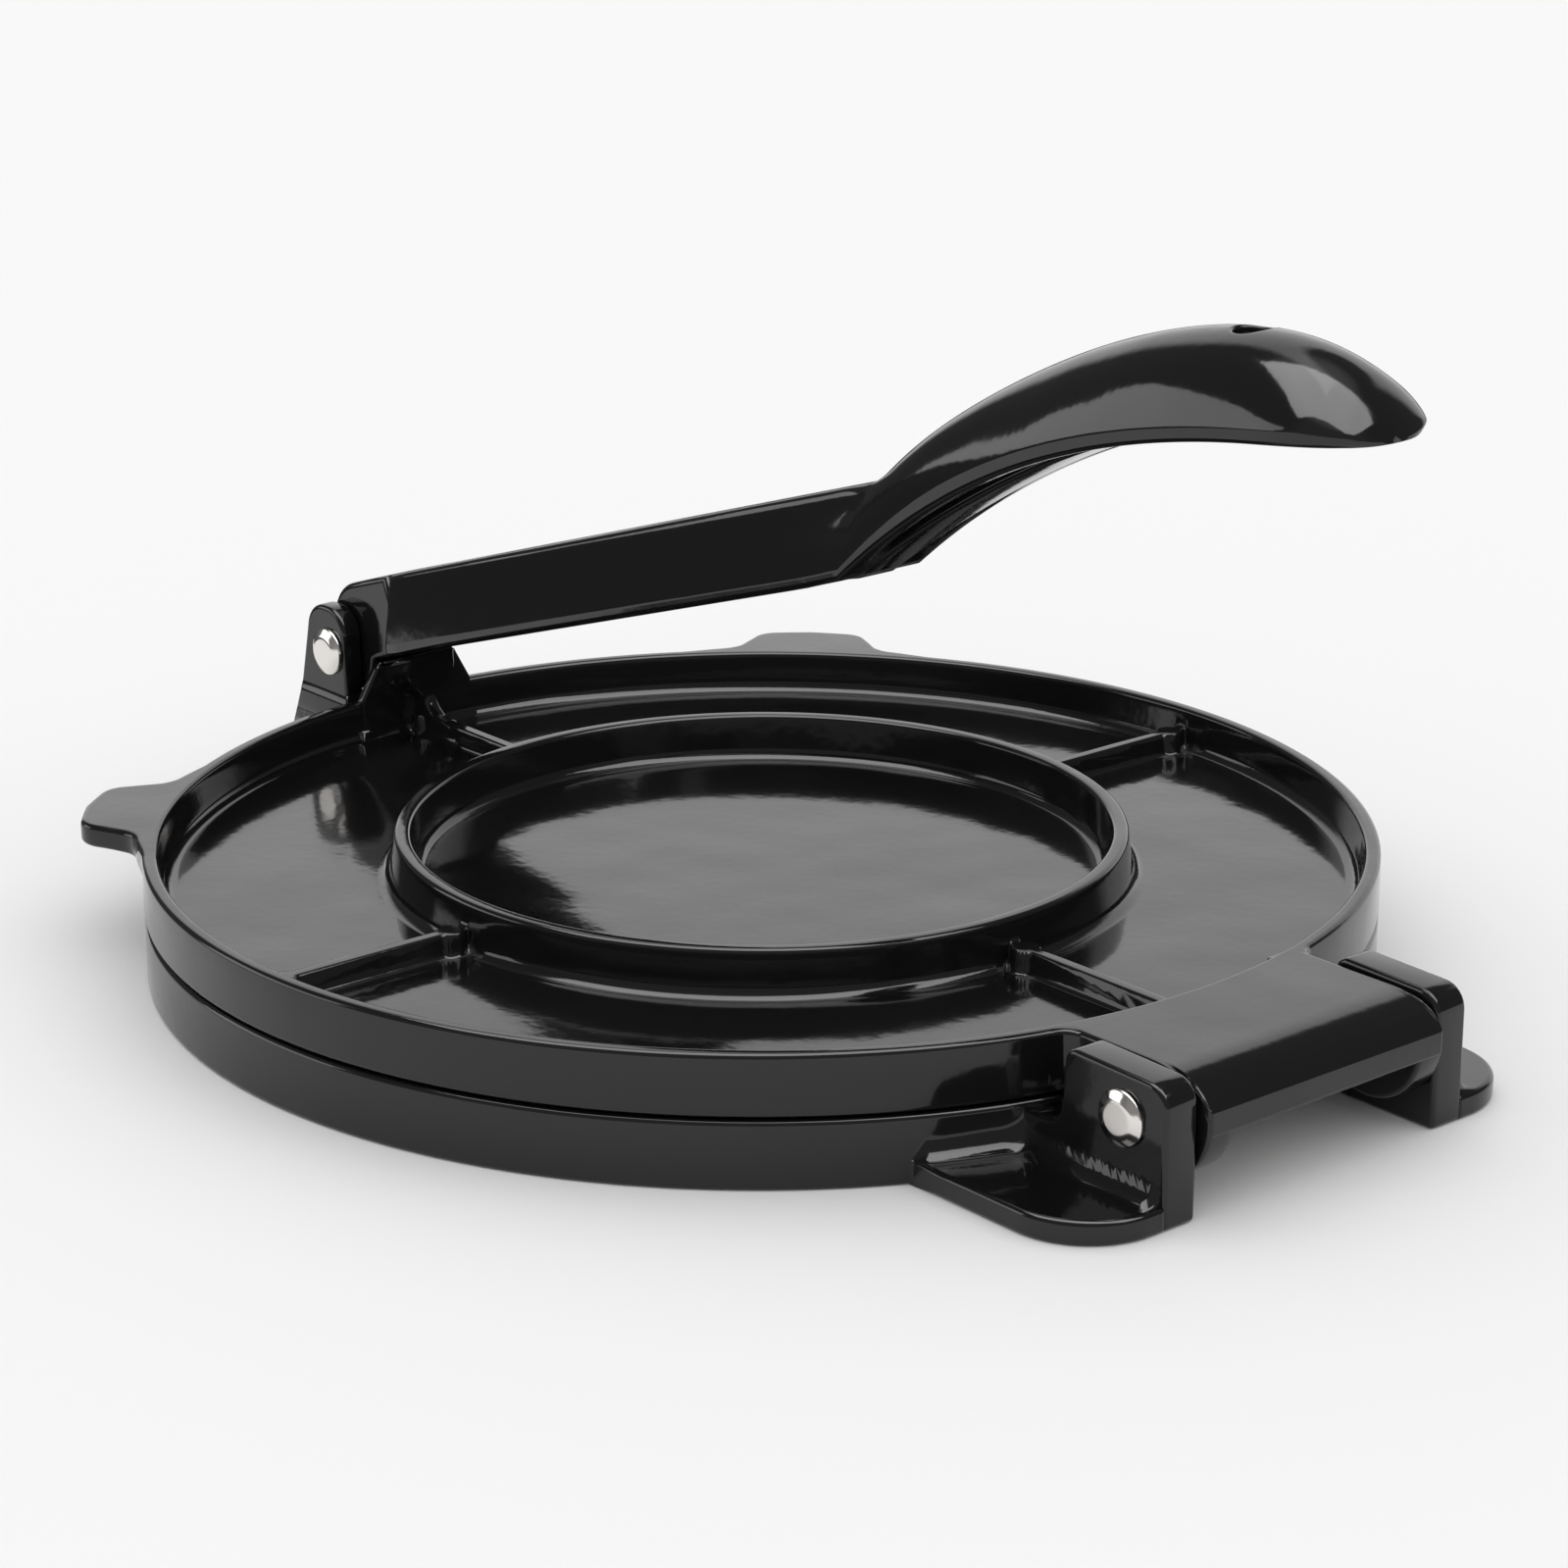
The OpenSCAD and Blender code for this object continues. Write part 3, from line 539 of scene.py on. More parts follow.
turns = np.linspace(0, math.pi / 2, 6)
fillet_levels = FLOOR_Z + RAMP_FILLET * np.linspace(0, 1, 9) ** 1.6
levels = np.r_[RAMP_FOOT, fillet_levels, np.arange(17.1, 28.4, 0.25), 29, 30, 31]
ramp_rings = [ramp_level(z, 0) for z in levels]
ramp_rings += [
    ramp_level(RAMP_TOP, RAMP_EDGE * (1 - math.sin(t)), RAMP_EDGE * (1 - math.cos(t))) for t in turns
]
ramp_rings.append(ramp_level(RAMP_TOP, 0, 0.85))
top_parts = [shell(top_skin + [0, 0, PRESS_Z]), shell(np.stack(ramp_rings), caps=True)]
top_plate = piece("top_plate_cast", top_parts + cheeks, "plate", "black_coat", "top_plate")

# %% [markdown]
# ### The base plate
#
# The base plate is the same casting upside down. Its edge carries the two foot lugs, which are again
# a longer reach: from below the section goes up the lug's side, back over its top, and up the plate's
# wall. The lug's top has hollow cast corners against that wall and against the ear.

# %% Lugs in the base plate's edge
EAR_IN, EAR_OUT, EAR_X = 26.0, 32.6, 129.6
LUG_Y, LUG_CORNER, LUG_T, CAST = 49.0, 14.0, 4.0, 4.0
LUG_FROM = 14.05
LUG_TO = math.degrees(math.asin(LUG_Y / PLATE_R))


def base_reach(angle):
    """Distance from the middle to the edge of the base plate and its lugs at each angle."""
    a = np.abs(degrees_apart(angle, 0))
    turn = np.radians(np.clip(a, 1, 60))
    mid_x, mid_y = EAR_X - LUG_CORNER, LUG_Y - LUG_CORNER
    along = mid_x * np.cos(turn) + mid_y * np.sin(turn)
    square = mid_x**2 + mid_y**2 - LUG_CORNER**2
    corner = along + np.sqrt(np.maximum(along**2 - square, 0))
    side, end = LUG_Y / np.sin(turn), EAR_X / np.cos(turn)
    beside = np.where(side * np.cos(turn) < mid_x, side, corner)
    lug = np.where(end * np.sin(turn) < mid_y, end, beside)
    return np.where((a > LUG_FROM) & (a < LUG_TO), lug, PLATE_R)


def base_edge(angle):
    """Rows round the foot of the edge, over the lug's top, and up the plate's wall."""
    reach, shrink = base_reach(angle), slant(angle, base_reach)
    turn = np.radians(angle)
    out = reach - PLATE_R
    small = out * shrink
    top = np.where(out > 0, BASE_H - LUG_T, BASE_H / 2)
    round_low = np.where(out > 0, np.minimum(EDGE, 0.4 * small), EDGE)
    round_up = np.minimum(EDGE, 0.4 * small)
    foot_r, foot_h = edge_arcs(
        [(0, BASE_H), (0, top)], [np.maximum(round_low, 0.2), round_up],
        [(reach - FLAT_FROM + 2, BASE_H), (np.maximum(out, 0.1), np.where(out > 0, top, 0))],
        reach, shrink,
    )
    start = reach - np.where(out > 0, round_up / shrink + 0.02, 0)
    r = PLATE_R + (start - PLATE_R) * np.linspace(1, 0, 21)[:, None] ** 1.4
    rise = hollow(r - PLATE_R, np.minimum(CAST, 0.9 * out))
    to_ear = np.abs(r * np.sin(turn)) - EAR_OUT
    at_ear = hollow(to_ear, CAST)
    rise = np.maximum(rise, at_ear) + 0.5 * np.minimum(rise, at_ear)
    h = top - np.where(out > 0, np.minimum(rise, CAST + 1.5), 0)
    wall_r, wall_h = edge_arcs(
        [(0, 0)], [EDGE], [(0, BASE_H), (PLATE_R - PRESSING_R, 0)],
        np.full_like(reach, PLATE_R), np.ones_like(reach),
    )
    return np.concatenate([foot_r, r, wall_r]), np.concatenate([foot_h, h, wall_h])


base_disc = disc_chain(BASE_H, BASE_H - 0.8)
base_angles = crowded(
    [(q, 3.0, 5.5) for q in (0, 90, 180, -90)] + [(s * 21, 7.6, 5.0) for s in (1, -1)], base=1.0
)
base_skin = plate_skin(base_angles, relief, base_disc, *base_edge(base_angles))
base_skin = base_skin * [1, 1, -1] + [0, 0, BASE_H]
print("the base plate's grid has", base_skin.shape[0], "rows and", base_skin.shape[1], "columns")

# %% [markdown]
# The hinge ears stand on the lugs as flat plates with a rounded top. The lever bracket is a foot that
# widens to the table, and two tapering ears with a slot between them for the lever's eye.

# %% Ears, bracket and the base plate
ear = outline(
    (96.4, 0.05, 0), (EAR_X, 0.05, EDGE), (EAR_X, 22.4, 4), (108.3, 22.9, 2.5), (107.3, 10.3, 3),
    (96.4, 10.3, 0),
)
ears = [
    slab(ear, *sorted((side * EAR_IN, side * EAR_OUT)), 0.8, place=side_view) for side in (1, -1)
]
CLEVIS_IN, CLEVIS_OUT, CLEVIS_TOP, SADDLE = 8.3, 12.3, 38.3, 16.6
CLEVIS_MID, CLEVIS_W, CLEVIS_SLOPE, FLARE = PIVOT_X - 0.74, 11.0, 0.22, 2.9
CLEVIS_FRONT = -106.1


def bracket_x(z):
    """The bracket's back and front edge at a height."""
    back = CLEVIS_MID - CLEVIS_W / 2 - CLEVIS_SLOPE * (CLEVIS_TOP - z)
    share = np.clip((CLEVIS_TOP - z) / (CLEVIS_TOP - BASE_H), 0, 1)
    return back, CLEVIS_MID + CLEVIS_W / 2 + share * (CLEVIS_FRONT - CLEVIS_MID - CLEVIS_W / 2)


def clevis_face(z):
    """How far out the bracket's face is at a height: upright above the rim, flared below it."""
    return CLEVIS_OUT + FLARE * np.clip(1 - z / RIM_Z, 0, 1)


def upright_loft(heights, inner, low_edge, front=None):
    """Rounded rectangles in plan between the bracket's edges and faces, stacked over heights."""
    rings = []
    for z in heights:
        back, face = bracket_x(z)
        face = face if front is None else front
        tuck = hollow(z, low_edge) if low_edge else 0
        side = clevis_face(z) - tuck
        inside = -side if inner is None else inner
        ring = outline(
            (back + tuck, inside, 0.8), (face, inside, 0.3), (face, side, 0.3), (back + tuck, side, 0.8)
        )
        rings.append(np.c_[ring, np.full(len(ring), z)])
    return shell(np.stack(rings), caps=True)


low_heights = np.r_[0, 0.06, 0.15, 0.3, 0.5, 0.8, 2, 6, 11, SADDLE]
foot = upright_loft(low_heights, None, 0.8, front=-100)
stubs = [upright_loft(np.array([SADDLE - 2, 18, 20, RIM_Z]), CLEVIS_IN, 0)]
top_back, top_front = bracket_x(CLEVIS_TOP)
low_back, low_front = bracket_x(14.0)
clevis = outline(
    (low_back, 14, 0), (low_front, 14, 0), (top_front, CLEVIS_TOP, CLEVIS_W / 2 - 0.3),
    (top_back, CLEVIS_TOP, CLEVIS_W / 2 - 0.1), steps=16
)
stubs += [slab(clevis, CLEVIS_IN, CLEVIS_OUT, 0.8, place=side_view)]
stubs += [(points * [1, -1, 1], faces) for points, faces in stubs]
base_plate = piece(
    "base_plate_cast", [shell(base_skin), foot] + ears + stubs, "base", "black_coat", "base_plate"
)

# %% [markdown]
# ## The lever
#
# The lever is one casting: a flat eye on the rivet, a bar, and the handle, a half-oval dome that is
# open below like a scoop. Bar and handle are one skin here. Every section is a closed line round a
# middle: an upper half from side to side over the top, and a lower half that comes back, flat under
# the bar and hollow under the handle. u runs along the bar, v across it, and both curves of the
# handle's side view are cubic.

# %% Side view of the bar and handle
BAR_W, BAR_START, BAR_END, BAR_UNDER, BAR_OVER = 18.0, 13.6, 148.0, 3.1, 11.7
GRIP_START, GRIP_LEN, GRIP_W, GRIP_T, TIP_ROUND = 145.5, 119.0, 25.6, 2.8, 18.0
GRIP_END = GRIP_START + GRIP_LEN
CROWN = np.array([[155.4, 9.4], [181.7, 28.1], [260.4, 35.6], [GRIP_END, 4.2]])
UNDER = np.array([[BAR_END, -2.8], [187.8, 13.6], [224.75, 13.7], [GRIP_END, 3.3]])
START_EDGE = 1.2


def bow(p, t):
    """The cubic curve of four points: their mean, weighted by 1, 3, 3, 1 times powers of t and 1 - t."""
    t = t[:, None]
    back = 1 - t
    return back**3 * p[0] + 3 * t * back**2 * p[1] + 3 * t * t * back * p[2] + t**3 * p[3]


def grip_half(u, t):
    """Half the handle's width: it swells from the bar's width and rounds off at the tip."""
    root = BAR_W / 2 + 0.3
    body = root + (GRIP_W / 2 - root) * smooth_step(t / 0.72) ** 0.67
    end = np.clip((u - GRIP_END + TIP_ROUND) / TIP_ROUND, 0, 1)
    return np.maximum(body * (1 - end**2.5) ** 0.4, 0.9)


bar_t = np.linspace(0, 1, 30)
grip_t = 1 - (1 - np.linspace(0, 1, 105)[1:]) ** 1.6
lean = math.tan(LEVER_ANGLE)
low_start = BAR_START + START_EDGE - BAR_UNDER * lean
top_start = BAR_START + START_EDGE + BAR_OVER * lean
root_x, root_z = CROWN[0] - UNDER[0]
top_end = BAR_END + (BAR_OVER - UNDER[0, 1]) * root_x / root_z
bar_low_z = 0.3 * smooth_step(bar_t * 12 - 11) - BAR_UNDER
bar_low = np.stack([low_start + (BAR_END - low_start) * bar_t, bar_low_z], 1)
bar_top = np.stack([top_start + (top_end - top_start) * bar_t, 0 * bar_t + BAR_OVER], 1)
lows = np.concatenate([bar_low, bow(UNDER, grip_t)])
crowns = np.concatenate([bar_top - unit(bar_top - bar_low) * 2.8, bow(CROWN, grip_t)])
halves = np.concatenate([7.5 + 1.8 * bar_t**20, grip_half(bow(UNDER, grip_t)[:, 0], grip_t)])
share = np.concatenate([0 * bar_t, grip_t])
print(len(lows), "sections run along the lever, of which", len(grip_t), "in the handle")

# %% [markdown]
# The lever was cast in a mould of two halves that parted a little above its lower edge. From that
# line the sides lean in both upwards and downwards. Above it a section is the larger of two shapes
# at each angle, blended where they meet: the bar's rounded box and the handle's dome. The box runs
# out into the handle, and the dome takes over, boxy at the root and half an ellipse further on. Its
# distance at each angle is found by halving an interval.

# %% Upper half of each section
UPPER_DRAFT, LOWER_DRAFT, SUNK = 0.11, 0.09, 0.22
ACROSS, HALVINGS = 97, 36
along = unit(crowns - lows)
tall = np.linalg.norm(crowns - lows, axis=1)[:, None]
share = share[:, None]
lip = np.minimum(1.1, 0.3 * tall)
middle = lip + np.minimum(0.9 + 1.1 * smooth_step(share / 0.3), 0.2 * tall)
box_top = (BAR_OVER - lows[:, 1:]) / along[:, 1:].clip(0.3)

k = np.linspace(-1, 1, ACROSS)
box_turn = math.atan2(BAR_W / 2, BAR_OVER + BAR_UNDER - 3.3)
turned = [0, box_turn - 0.13, box_turn + 0.13, math.pi / 2 - 0.06, math.pi / 2]
bunch = np.interp(np.abs(k), [0, 0.3, 0.72, 0.97, 1], turned) * np.sign(k)
blend = smooth_step((share - 0.1) / 0.2)
phi = bunch * (1 - blend) + k * math.pi / 2 * blend
sin, cos = np.abs(np.sin(phi)).clip(1e-6), np.cos(phi).clip(1e-6)

power = 3.8 - 1.8 * smooth_step(share / 0.4)
deep = (tall - middle) / (1 - SUNK)
wide = halves[:, None] / (1 - SUNK**power) ** (1 / power)
near, far = np.zeros_like(phi), np.full_like(phi, 80.0)
for _ in range(HALVINGS):
    dome = (near + far) / 2
    within = (dome * sin / wide) ** power + (dome * cos / deep + SUNK) ** power < 1
    near, far = np.where(within, dome, near), np.where(within, far, dome)
side, high = (BAR_W / 2) / (sin + UPPER_DRAFT * cos), (box_top - middle).clip(0.4) / cos
box = -smooth_max(-side, -high, 1.15) * (share < 0.3)
radius = smooth_max(dome, box, 1.6)
width = radius[:, :1]
upper = np.stack([radius * np.sin(phi), middle + radius * np.cos(phi)], -1)
print("over the top each section has", upper.shape[1], "points")

# %% [markdown]
# Below the parting line comes a narrow strip, the rounded lip, and the hollow inside. The hollow is
# half an ellipse with as many points as the upper half, so it also serves where the handle is closed:
# under the bar its roof is simply at height 0, and the section is flat there.

# %% Lower half of each section
ahead = np.clip((lows[:, :1] - 157) / 7, 0, 1)
roof = ((tall - GRIP_T * 1.08) * np.sqrt(1 - (1 - ahead) ** 2)).clip(0)
inner_w = np.maximum(width - GRIP_T, 0.3 * width)
turn = np.linspace(0, math.pi / 2, 6)
down = np.concatenate([0.12 * lip + 0 * turn[:1], (middle - lip) * np.linspace(0.5, 0.96, 2)], 1)
strip = np.stack([width - LOWER_DRAFT * down, middle - down], -1)
foot, round_w = width - LOWER_DRAFT * (middle - lip), np.minimum(lip, 0.3 * width)
lip_out = np.stack([foot - round_w * (1 - np.cos(turn)), lip * (1 - np.sin(turn))], -1)
lip_in = np.stack([inner_w + 0.35 * round_w, 0 * round_w], -1)
right = np.concatenate([strip, lip_out, lip_in], 1)
psi = np.linspace(0, math.pi, ACROSS)
cavity = np.stack([inner_w * np.cos(psi), roof * np.sin(psi)], -1)
section = np.concatenate([upper, right, cavity, right[:, ::-1] * [-1, 1]], 1)
skin = lows[:, None] + along[:, None] * section[..., 1:]
grip_rings = np.stack([skin[..., 0], section[..., 0], skin[..., 1]], -1)
print("each section has", section.shape[1], "points")

# %% [markdown]
# The bar starts with an upright face beside the bracket. Its edge is rounded by a few more sections,
# each a little smaller than the last and a little further on. The eye on the rivet and the rib under
# the handle are flat, so each is an outline in side view given a thickness.

# %% Start of the bar, eye and rib
first = grip_rings[0]
middle = np.array([first[:, 0].mean(), 0, first[:, 2].mean()])
turn = np.linspace(0, math.pi / 2, 6)[:-1]
inset_by = np.r_[START_EDGE + 0.15, START_EDGE * (1 - np.sin(turn))][:, None, None]
shift = np.r_[START_EDGE, START_EDGE * np.cos(turn)][:, None, None] * np.array([1, 0, 0])
half_size = np.array([7.4, 9.0, 7.4])
start_rings = middle + (first - middle) * (1 - inset_by / half_size) - shift
grip_rings = np.concatenate([start_rings, grip_rings])

EYE_HALF, KEEL_HALF = 8.0, 4.5
eye = np.concatenate([
    [[17.2, -BAR_UNDER], [17.2, BAR_OVER]],
    arc(5.2, 3.1, 8.6, 90, 145.4, 14), arc(0, 0, 8.2, 105, 337.8, 52),
])
eye_slab = slab(eye, -EYE_HALF, EYE_HALF, 1.0, place=side_view)
KEEL = np.array([[147.0, -3.1], [166.0, 3.4], [190.0, 9.6], [212.0, 10.6]])
keel_low = bow(KEEL, np.linspace(0, 1, 30))
crown_at = np.linspace(0.5, 0.04, 16)
ahead = unit(bow(CROWN, crown_at + 0.01) - bow(CROWN, crown_at - 0.01))
under_crown = bow(CROWN, crown_at) - 2.0 * np.stack([-ahead[:, 1], ahead[:, 0]], 1)
keel = np.concatenate([[[143.0, -2.9]], keel_low, under_crown, [[143.0, 8.0]]])
keel_slab = slab(keel, -KEEL_HALF, KEEL_HALF, 0.9, place=side_view)


def on_pivot(points):
    """Points drawn in the lever's own frame, tilted to the lever's angle and set on its axis."""
    c, s = math.cos(LEVER_ANGLE), math.sin(LEVER_ANGLE)
    x, y, z = np.moveaxis(points, -1, 0)
    return np.stack([PIVOT_X + c * x - s * z, y, PIVOT_Z + s * x + c * z], -1)


print(f"the lever's tip is {on_pivot(grip_rings)[-1, :, 2].max():.1f} mm above the table")

# %% [markdown]
# The hang hole goes upright through the handle. A block of cells is left out of the skin's outside,
# and the same block of its inside. One sleeve joins the two: it closes in to the hole's rounded rim,
# goes down the wall, and widens again inside. Its heights come from a smooth polynomial through the
# skin's own points round the hole.

# %% Hang hole
HOLE_X, HOLE_R, HOLE_EDGE, BLOCK_HALF = 110.46, 3.0, 0.6, 5.2
MIRROR = ACROSS + right.shape[1] + ACROSS - 1
skin = on_pivot(grip_rings)
r0, r1 = np.flatnonzero(np.abs(skin[:, ACROSS // 2, 0] - HOLE_X) < BLOCK_HALF)[[0, -1]]
c0, c1 = np.flatnonzero(np.abs(skin[(r0 + r1) // 2, :ACROSS, 1]) < BLOCK_HALF)[[0, -1]]
there, back = np.arange(c0, c1), np.arange(c1, c0, -1)
up, down = np.arange(r0, r1), np.arange(r1, r0, -1)
edge_rows = np.r_[np.full(c1 - c0, r0), up, np.full(c1 - c0, r1), down]
edge_columns = np.r_[there, np.full(r1 - r0, c1), back, np.full(r1 - r0, c0)]
rays = unit(skin[edge_rows, edge_columns, :2] - [HOLE_X, 0])
terms = [(a, b) for a in range(5) for b in range(0, 5 - a, 2)]


def sleeve_side(columns, down):
    """Rings from a block's edge in to the rim of the hole and round it into the wall.

    Heights are the sum of powers of X and even powers of Y that fits the skin round the block best,
    less the rim's quarter circle.
    """
    near = skin[r0 - 2:r1 + 3, columns.min() - 2:columns.max() + 3].reshape(-1, 3)
    powers = [lambda p, a=a, b=b: ((p[:, 0] - HOLE_X) / 6) ** a * (p[:, 1] / 6) ** b for a, b in terms]
    fit = np.linalg.lstsq(np.stack([f(near) for f in powers], 1), near[:, 2], rcond=None)[0]
    edge, rings = skin[edge_rows, columns], [skin[edge_rows, columns]]
    rim = rays * (HOLE_R + HOLE_EDGE) + [HOLE_X, 0]
    turns = np.linspace(0, math.pi / 2, 7)[1:]
    for share, turn in [(t, 0) for t in (0.25, 0.5, 0.75, 1)] + [(1, t) for t in turns]:
        flat = edge[:, :2] * (1 - share) + rim * share - rays * HOLE_EDGE * math.sin(turn)
        z = np.stack([f(flat) for f in powers], 1) @ fit - down * HOLE_EDGE * (1 - math.cos(turn))
        rings.append(np.c_[flat, z])
    return rings


sleeve = np.stack(sleeve_side(edge_columns, 1) + sleeve_side(MIRROR - edge_columns, -1)[::-1])
new = np.arange(sleeve[1:-1, :, 0].size).reshape(-1, len(edge_rows)) + skin[..., 0].size
ends = [edge_rows * skin.shape[1] + columns for columns in (edge_columns, MIRROR - edge_columns)]
ids = np.concatenate([ends[:1], new, ends[1:]])
blocks = [(r0, r1, c0, c1), (r0, r1, MIRROR - c1, MIRROR - c0)]
for _, _, first, last in blocks:
    skin[r0 + 1:r1, first + 1:last] = skin[r0, first]
points, faces = shell(skin, caps=True, gaps=blocks)
faces += ids.ravel()[grid_faces(*ids.shape, False, True)].tolist()
bar_and_grip = np.concatenate([points, sleeve[1:-1].reshape(-1, 3)]), faces
slabs = [(on_pivot(points), faces) for points, faces in (eye_slab, keel_slab)]
press_lever = piece("press_lever_cast", [bar_and_grip] + slabs, "lever", "black_coat", "press_lever")

# %% [markdown]
# ## The rivets
#
# The rivets are turned steel, nickel plated, with a low dome on both ends: one profile turned round
# the axis of each hinge.

# %% Rivets
HEAD_R, HEAD_H, SHANK_R = 4.5, 1.6, 3.0


def rivet(name, x, z, y, body, node):
    """A rivet along Y, headed at -y and y: its profile (radius, place) turned round the axis."""
    dome = outline(
        (0, 0, 0), (HEAD_R, 0, 0), (HEAD_R, 0.72, 0.45), (2.9, HEAD_H, 2.4), (0, HEAD_H, 0), steps=7
    )[1:-1]
    head, top = dome + [0, y], y + HEAD_H
    profile = np.concatenate([
        [[0, top]], head[::-1], [[SHANK_R, y]], [[SHANK_R, -y]], head * [1, -1], [[0, -top]]
    ])
    a = np.linspace(0, 2 * math.pi, 97)[:-1]
    r, place = profile[:, :1], profile[:, 1:]
    points = np.stack([x + r * np.cos(a), place + 0 * a, z + r * np.sin(a)], -1)
    return piece(name, [shell(points)], body, "nickel", node)


hinge_rivet = rivet("hinge_rivet_turned", HINGE_X, HINGE_Z, EAR_OUT, "base", "hinge_rivet")
lever_rivet = rivet("lever_rivet_turned", PIVOT_X, PIVOT_Z, CLEVIS_OUT, "base", "lever_rivet")

# %% [markdown]
# ## Finishes
#
# A material is a sum worked out at every point, so it is written here as sums. The small class wraps
# an output socket: adding or multiplying two of them makes the shader node that does it.

# %% Shader sums
class Value:
    """An output socket of a material's node tree that can be used in sums."""

    def __init__(self, tree, socket):
        """Keeps the node tree and the socket."""
        self.tree, self.socket = tree, socket

    def node(self, kind, output=0, settings=None, **inputs):
        """Makes any other node from its type, its settings and its inputs' values.

        Inputs go by their socket's name, with _ for a space, or as n0, n1 and so on by its number.
        """
        made = self.tree.nodes.new(kind)
        for key, value in (settings or {}).items():
            setattr(made, key, value)
        for key, value in inputs.items():
            numbered = key[0] == "n" and key[1:].isdigit()
            self.put(value, made.inputs[int(key[1:]) if numbered else key.replace("_", " ")])
        return Value(self.tree, made.outputs[output])

    def put(self, value, socket):
        """Gives a socket a number, a colour or another Value."""
        if isinstance(value, Value):
            self.tree.links.new(value.socket, socket)
        else:
            socket.default_value = value

    def sum(self, operation, *terms):
        """Makes the Math node of an operation on numbers or Values."""
        made = self.tree.nodes.new("ShaderNodeMath")
        made.operation = operation
        for term, socket in zip(terms, made.inputs):
            self.put(term, socket)
        return Value(self.tree, made.outputs[0])

    def __add__(self, other):
        return self.sum("ADD", self, other)

    def __mul__(self, other):
        return self.sum("MULTIPLY", self, other)

    def __sub__(self, other):
        return self.sum("SUBTRACT", self, other)

    def __rsub__(self, other):
        return self.sum("SUBTRACT", other, self)

    __radd__, __rmul__ = __add__, __mul__


def material(name):
    """A new material, its shader node and the place on the object, as a Value in metres."""
    made = bpy.data.materials.new(name)
    made.use_nodes = True
    shader = made.node_tree.nodes["Principled BSDF"]
    place = Value(made.node_tree, made.node_tree.nodes.new("ShaderNodeTexCoord").outputs["Object"])
    return made, shader, place


print("a Value can be added, subtracted and multiplied, and makes any node")

# %% [markdown]
# The coat is a thick black enamel. It levels out before it hardens but never quite, so under the
# gloss its surface swells gently: at a few centimetres it bends reflected edges, and at a few
# millimetres it is the fine skin called orange peel.

# %% Black coat
black_coat, shader, place = material("black_coat")
shader.inputs["Base Color"].default_value = (0.006, 0.006, 0.0065, 1)
shader.inputs["IOR"].default_value = 1.5
swell = place.node("ShaderNodeTexNoise", "Fac", Vector=place, Scale=45.0, Detail=1.0)
peel = place.node("ShaderNodeTexNoise", "Fac", Vector=place, Scale=420.0, Detail=1.0)
speck = place.node("ShaderNodeTexNoise", "Fac", Vector=place, Scale=900.0, Detail=2.0)
height = swell * 0.0004 + peel * 0.00002
bump = place.node("ShaderNodeBump", "Normal", Height=height, Strength=1.0, Distance=1.0)
bump.put(bump, shader.inputs["Normal"])
roughness = 0.06 + speck * 0.06
roughness.put(roughness, shader.inputs["Roughness"])
for cast in (top_plate, base_plate, press_lever):
    cast.data.materials.append(black_coat)
print("the coat is a sum of", len(black_coat.node_tree.nodes), "nodes")

# %% [markdown]
# The rivets' nickel plate is a bright warm grey. Handling and wear leave it a little hazy in places,
# so only its roughness changes over the heads.

# %% Nickel
nickel, shader, place = material("nickel")
shader.inputs["Base Color"].default_value = (0.8, 0.77, 0.74, 1)
shader.inputs["Metallic"].default_value = 1.0
haze = place.node("ShaderNodeTexNoise", "Fac", Vector=place, Scale=700.0, Detail=2.0)
roughness = 0.1 + haze * 0.08
roughness.put(roughness, shader.inputs["Roughness"])
for pin in (hinge_rivet, lever_rivet):
    pin.data.materials.append(nickel)
print("the nickel is a sum of", len(nickel.node_tree.nodes), "nodes")

# %% [markdown]
# ## The photograph
#
# The press stands on white paper in soft even light. A glossy black surface shows only what it
# mirrors, so the room matters more than the lamps. These were found from the photograph, by
# following its reflections back from the fitted surfaces: a long soft box overhead, a bright panel
# low on the left, a white backdrop behind, a dim room on the camera's side, and darkness past the
# table's left edge. The room, the table's edge and both lamps are seen only in reflections.

# %% Floor and even light
STUDIO = 9.0


def studio_plane(name, x0, y0, x1, y1, z):
    """A flat rectangle at a height, in metres, that belongs to the studio."""
    mesh = bpy.data.meshes.new(name)
    mesh.from_pydata([(x0, y0, z), (x1, y0, z), (x1, y1, z), (x0, y1, z)], [], [(0, 1, 2, 3)])
    obj = bpy.data.objects.new(name, mesh)
    bpy.context.scene.collection.objects.link(obj)
    return obj


def only_mirrored(obj):
    """Hides an object from everything but reflections."""
    obj.visible_camera = obj.visible_diffuse = obj.visible_shadow = False
    obj.visible_transmission = obj.visible_volume_scatter = False


floor = studio_plane("floor", -STUDIO, -STUDIO, STUDIO, STUDIO, 0)
paper, shader, _ = material("paper")
shader.inputs["Base Color"].default_value = (0.9, 0.9, 0.9, 1)
shader.inputs["Roughness"].default_value = 1.0
shader.inputs["Specular IOR Level"].default_value = 0.0
floor.data.materials.append(paper)

world = bpy.data.worlds.new("even_light")
world.use_nodes = True
world.node_tree.nodes["Background"].inputs["Color"].default_value = (1, 1, 1, 1)
world.node_tree.nodes["Background"].inputs["Strength"].default_value = 1.05
bpy.context.scene.world = world
print("the floor is", 2 * STUDIO, "m across")

# %% [markdown]
# The room is a ball round the press. Its glow is a sum over directions: a dim grey everywhere, a
# bright backdrop with a dark round patch in it, a ceiling, and a faint light on the camera's side.
# Each lamp is a plain rectangle, as a photographer's soft box is.

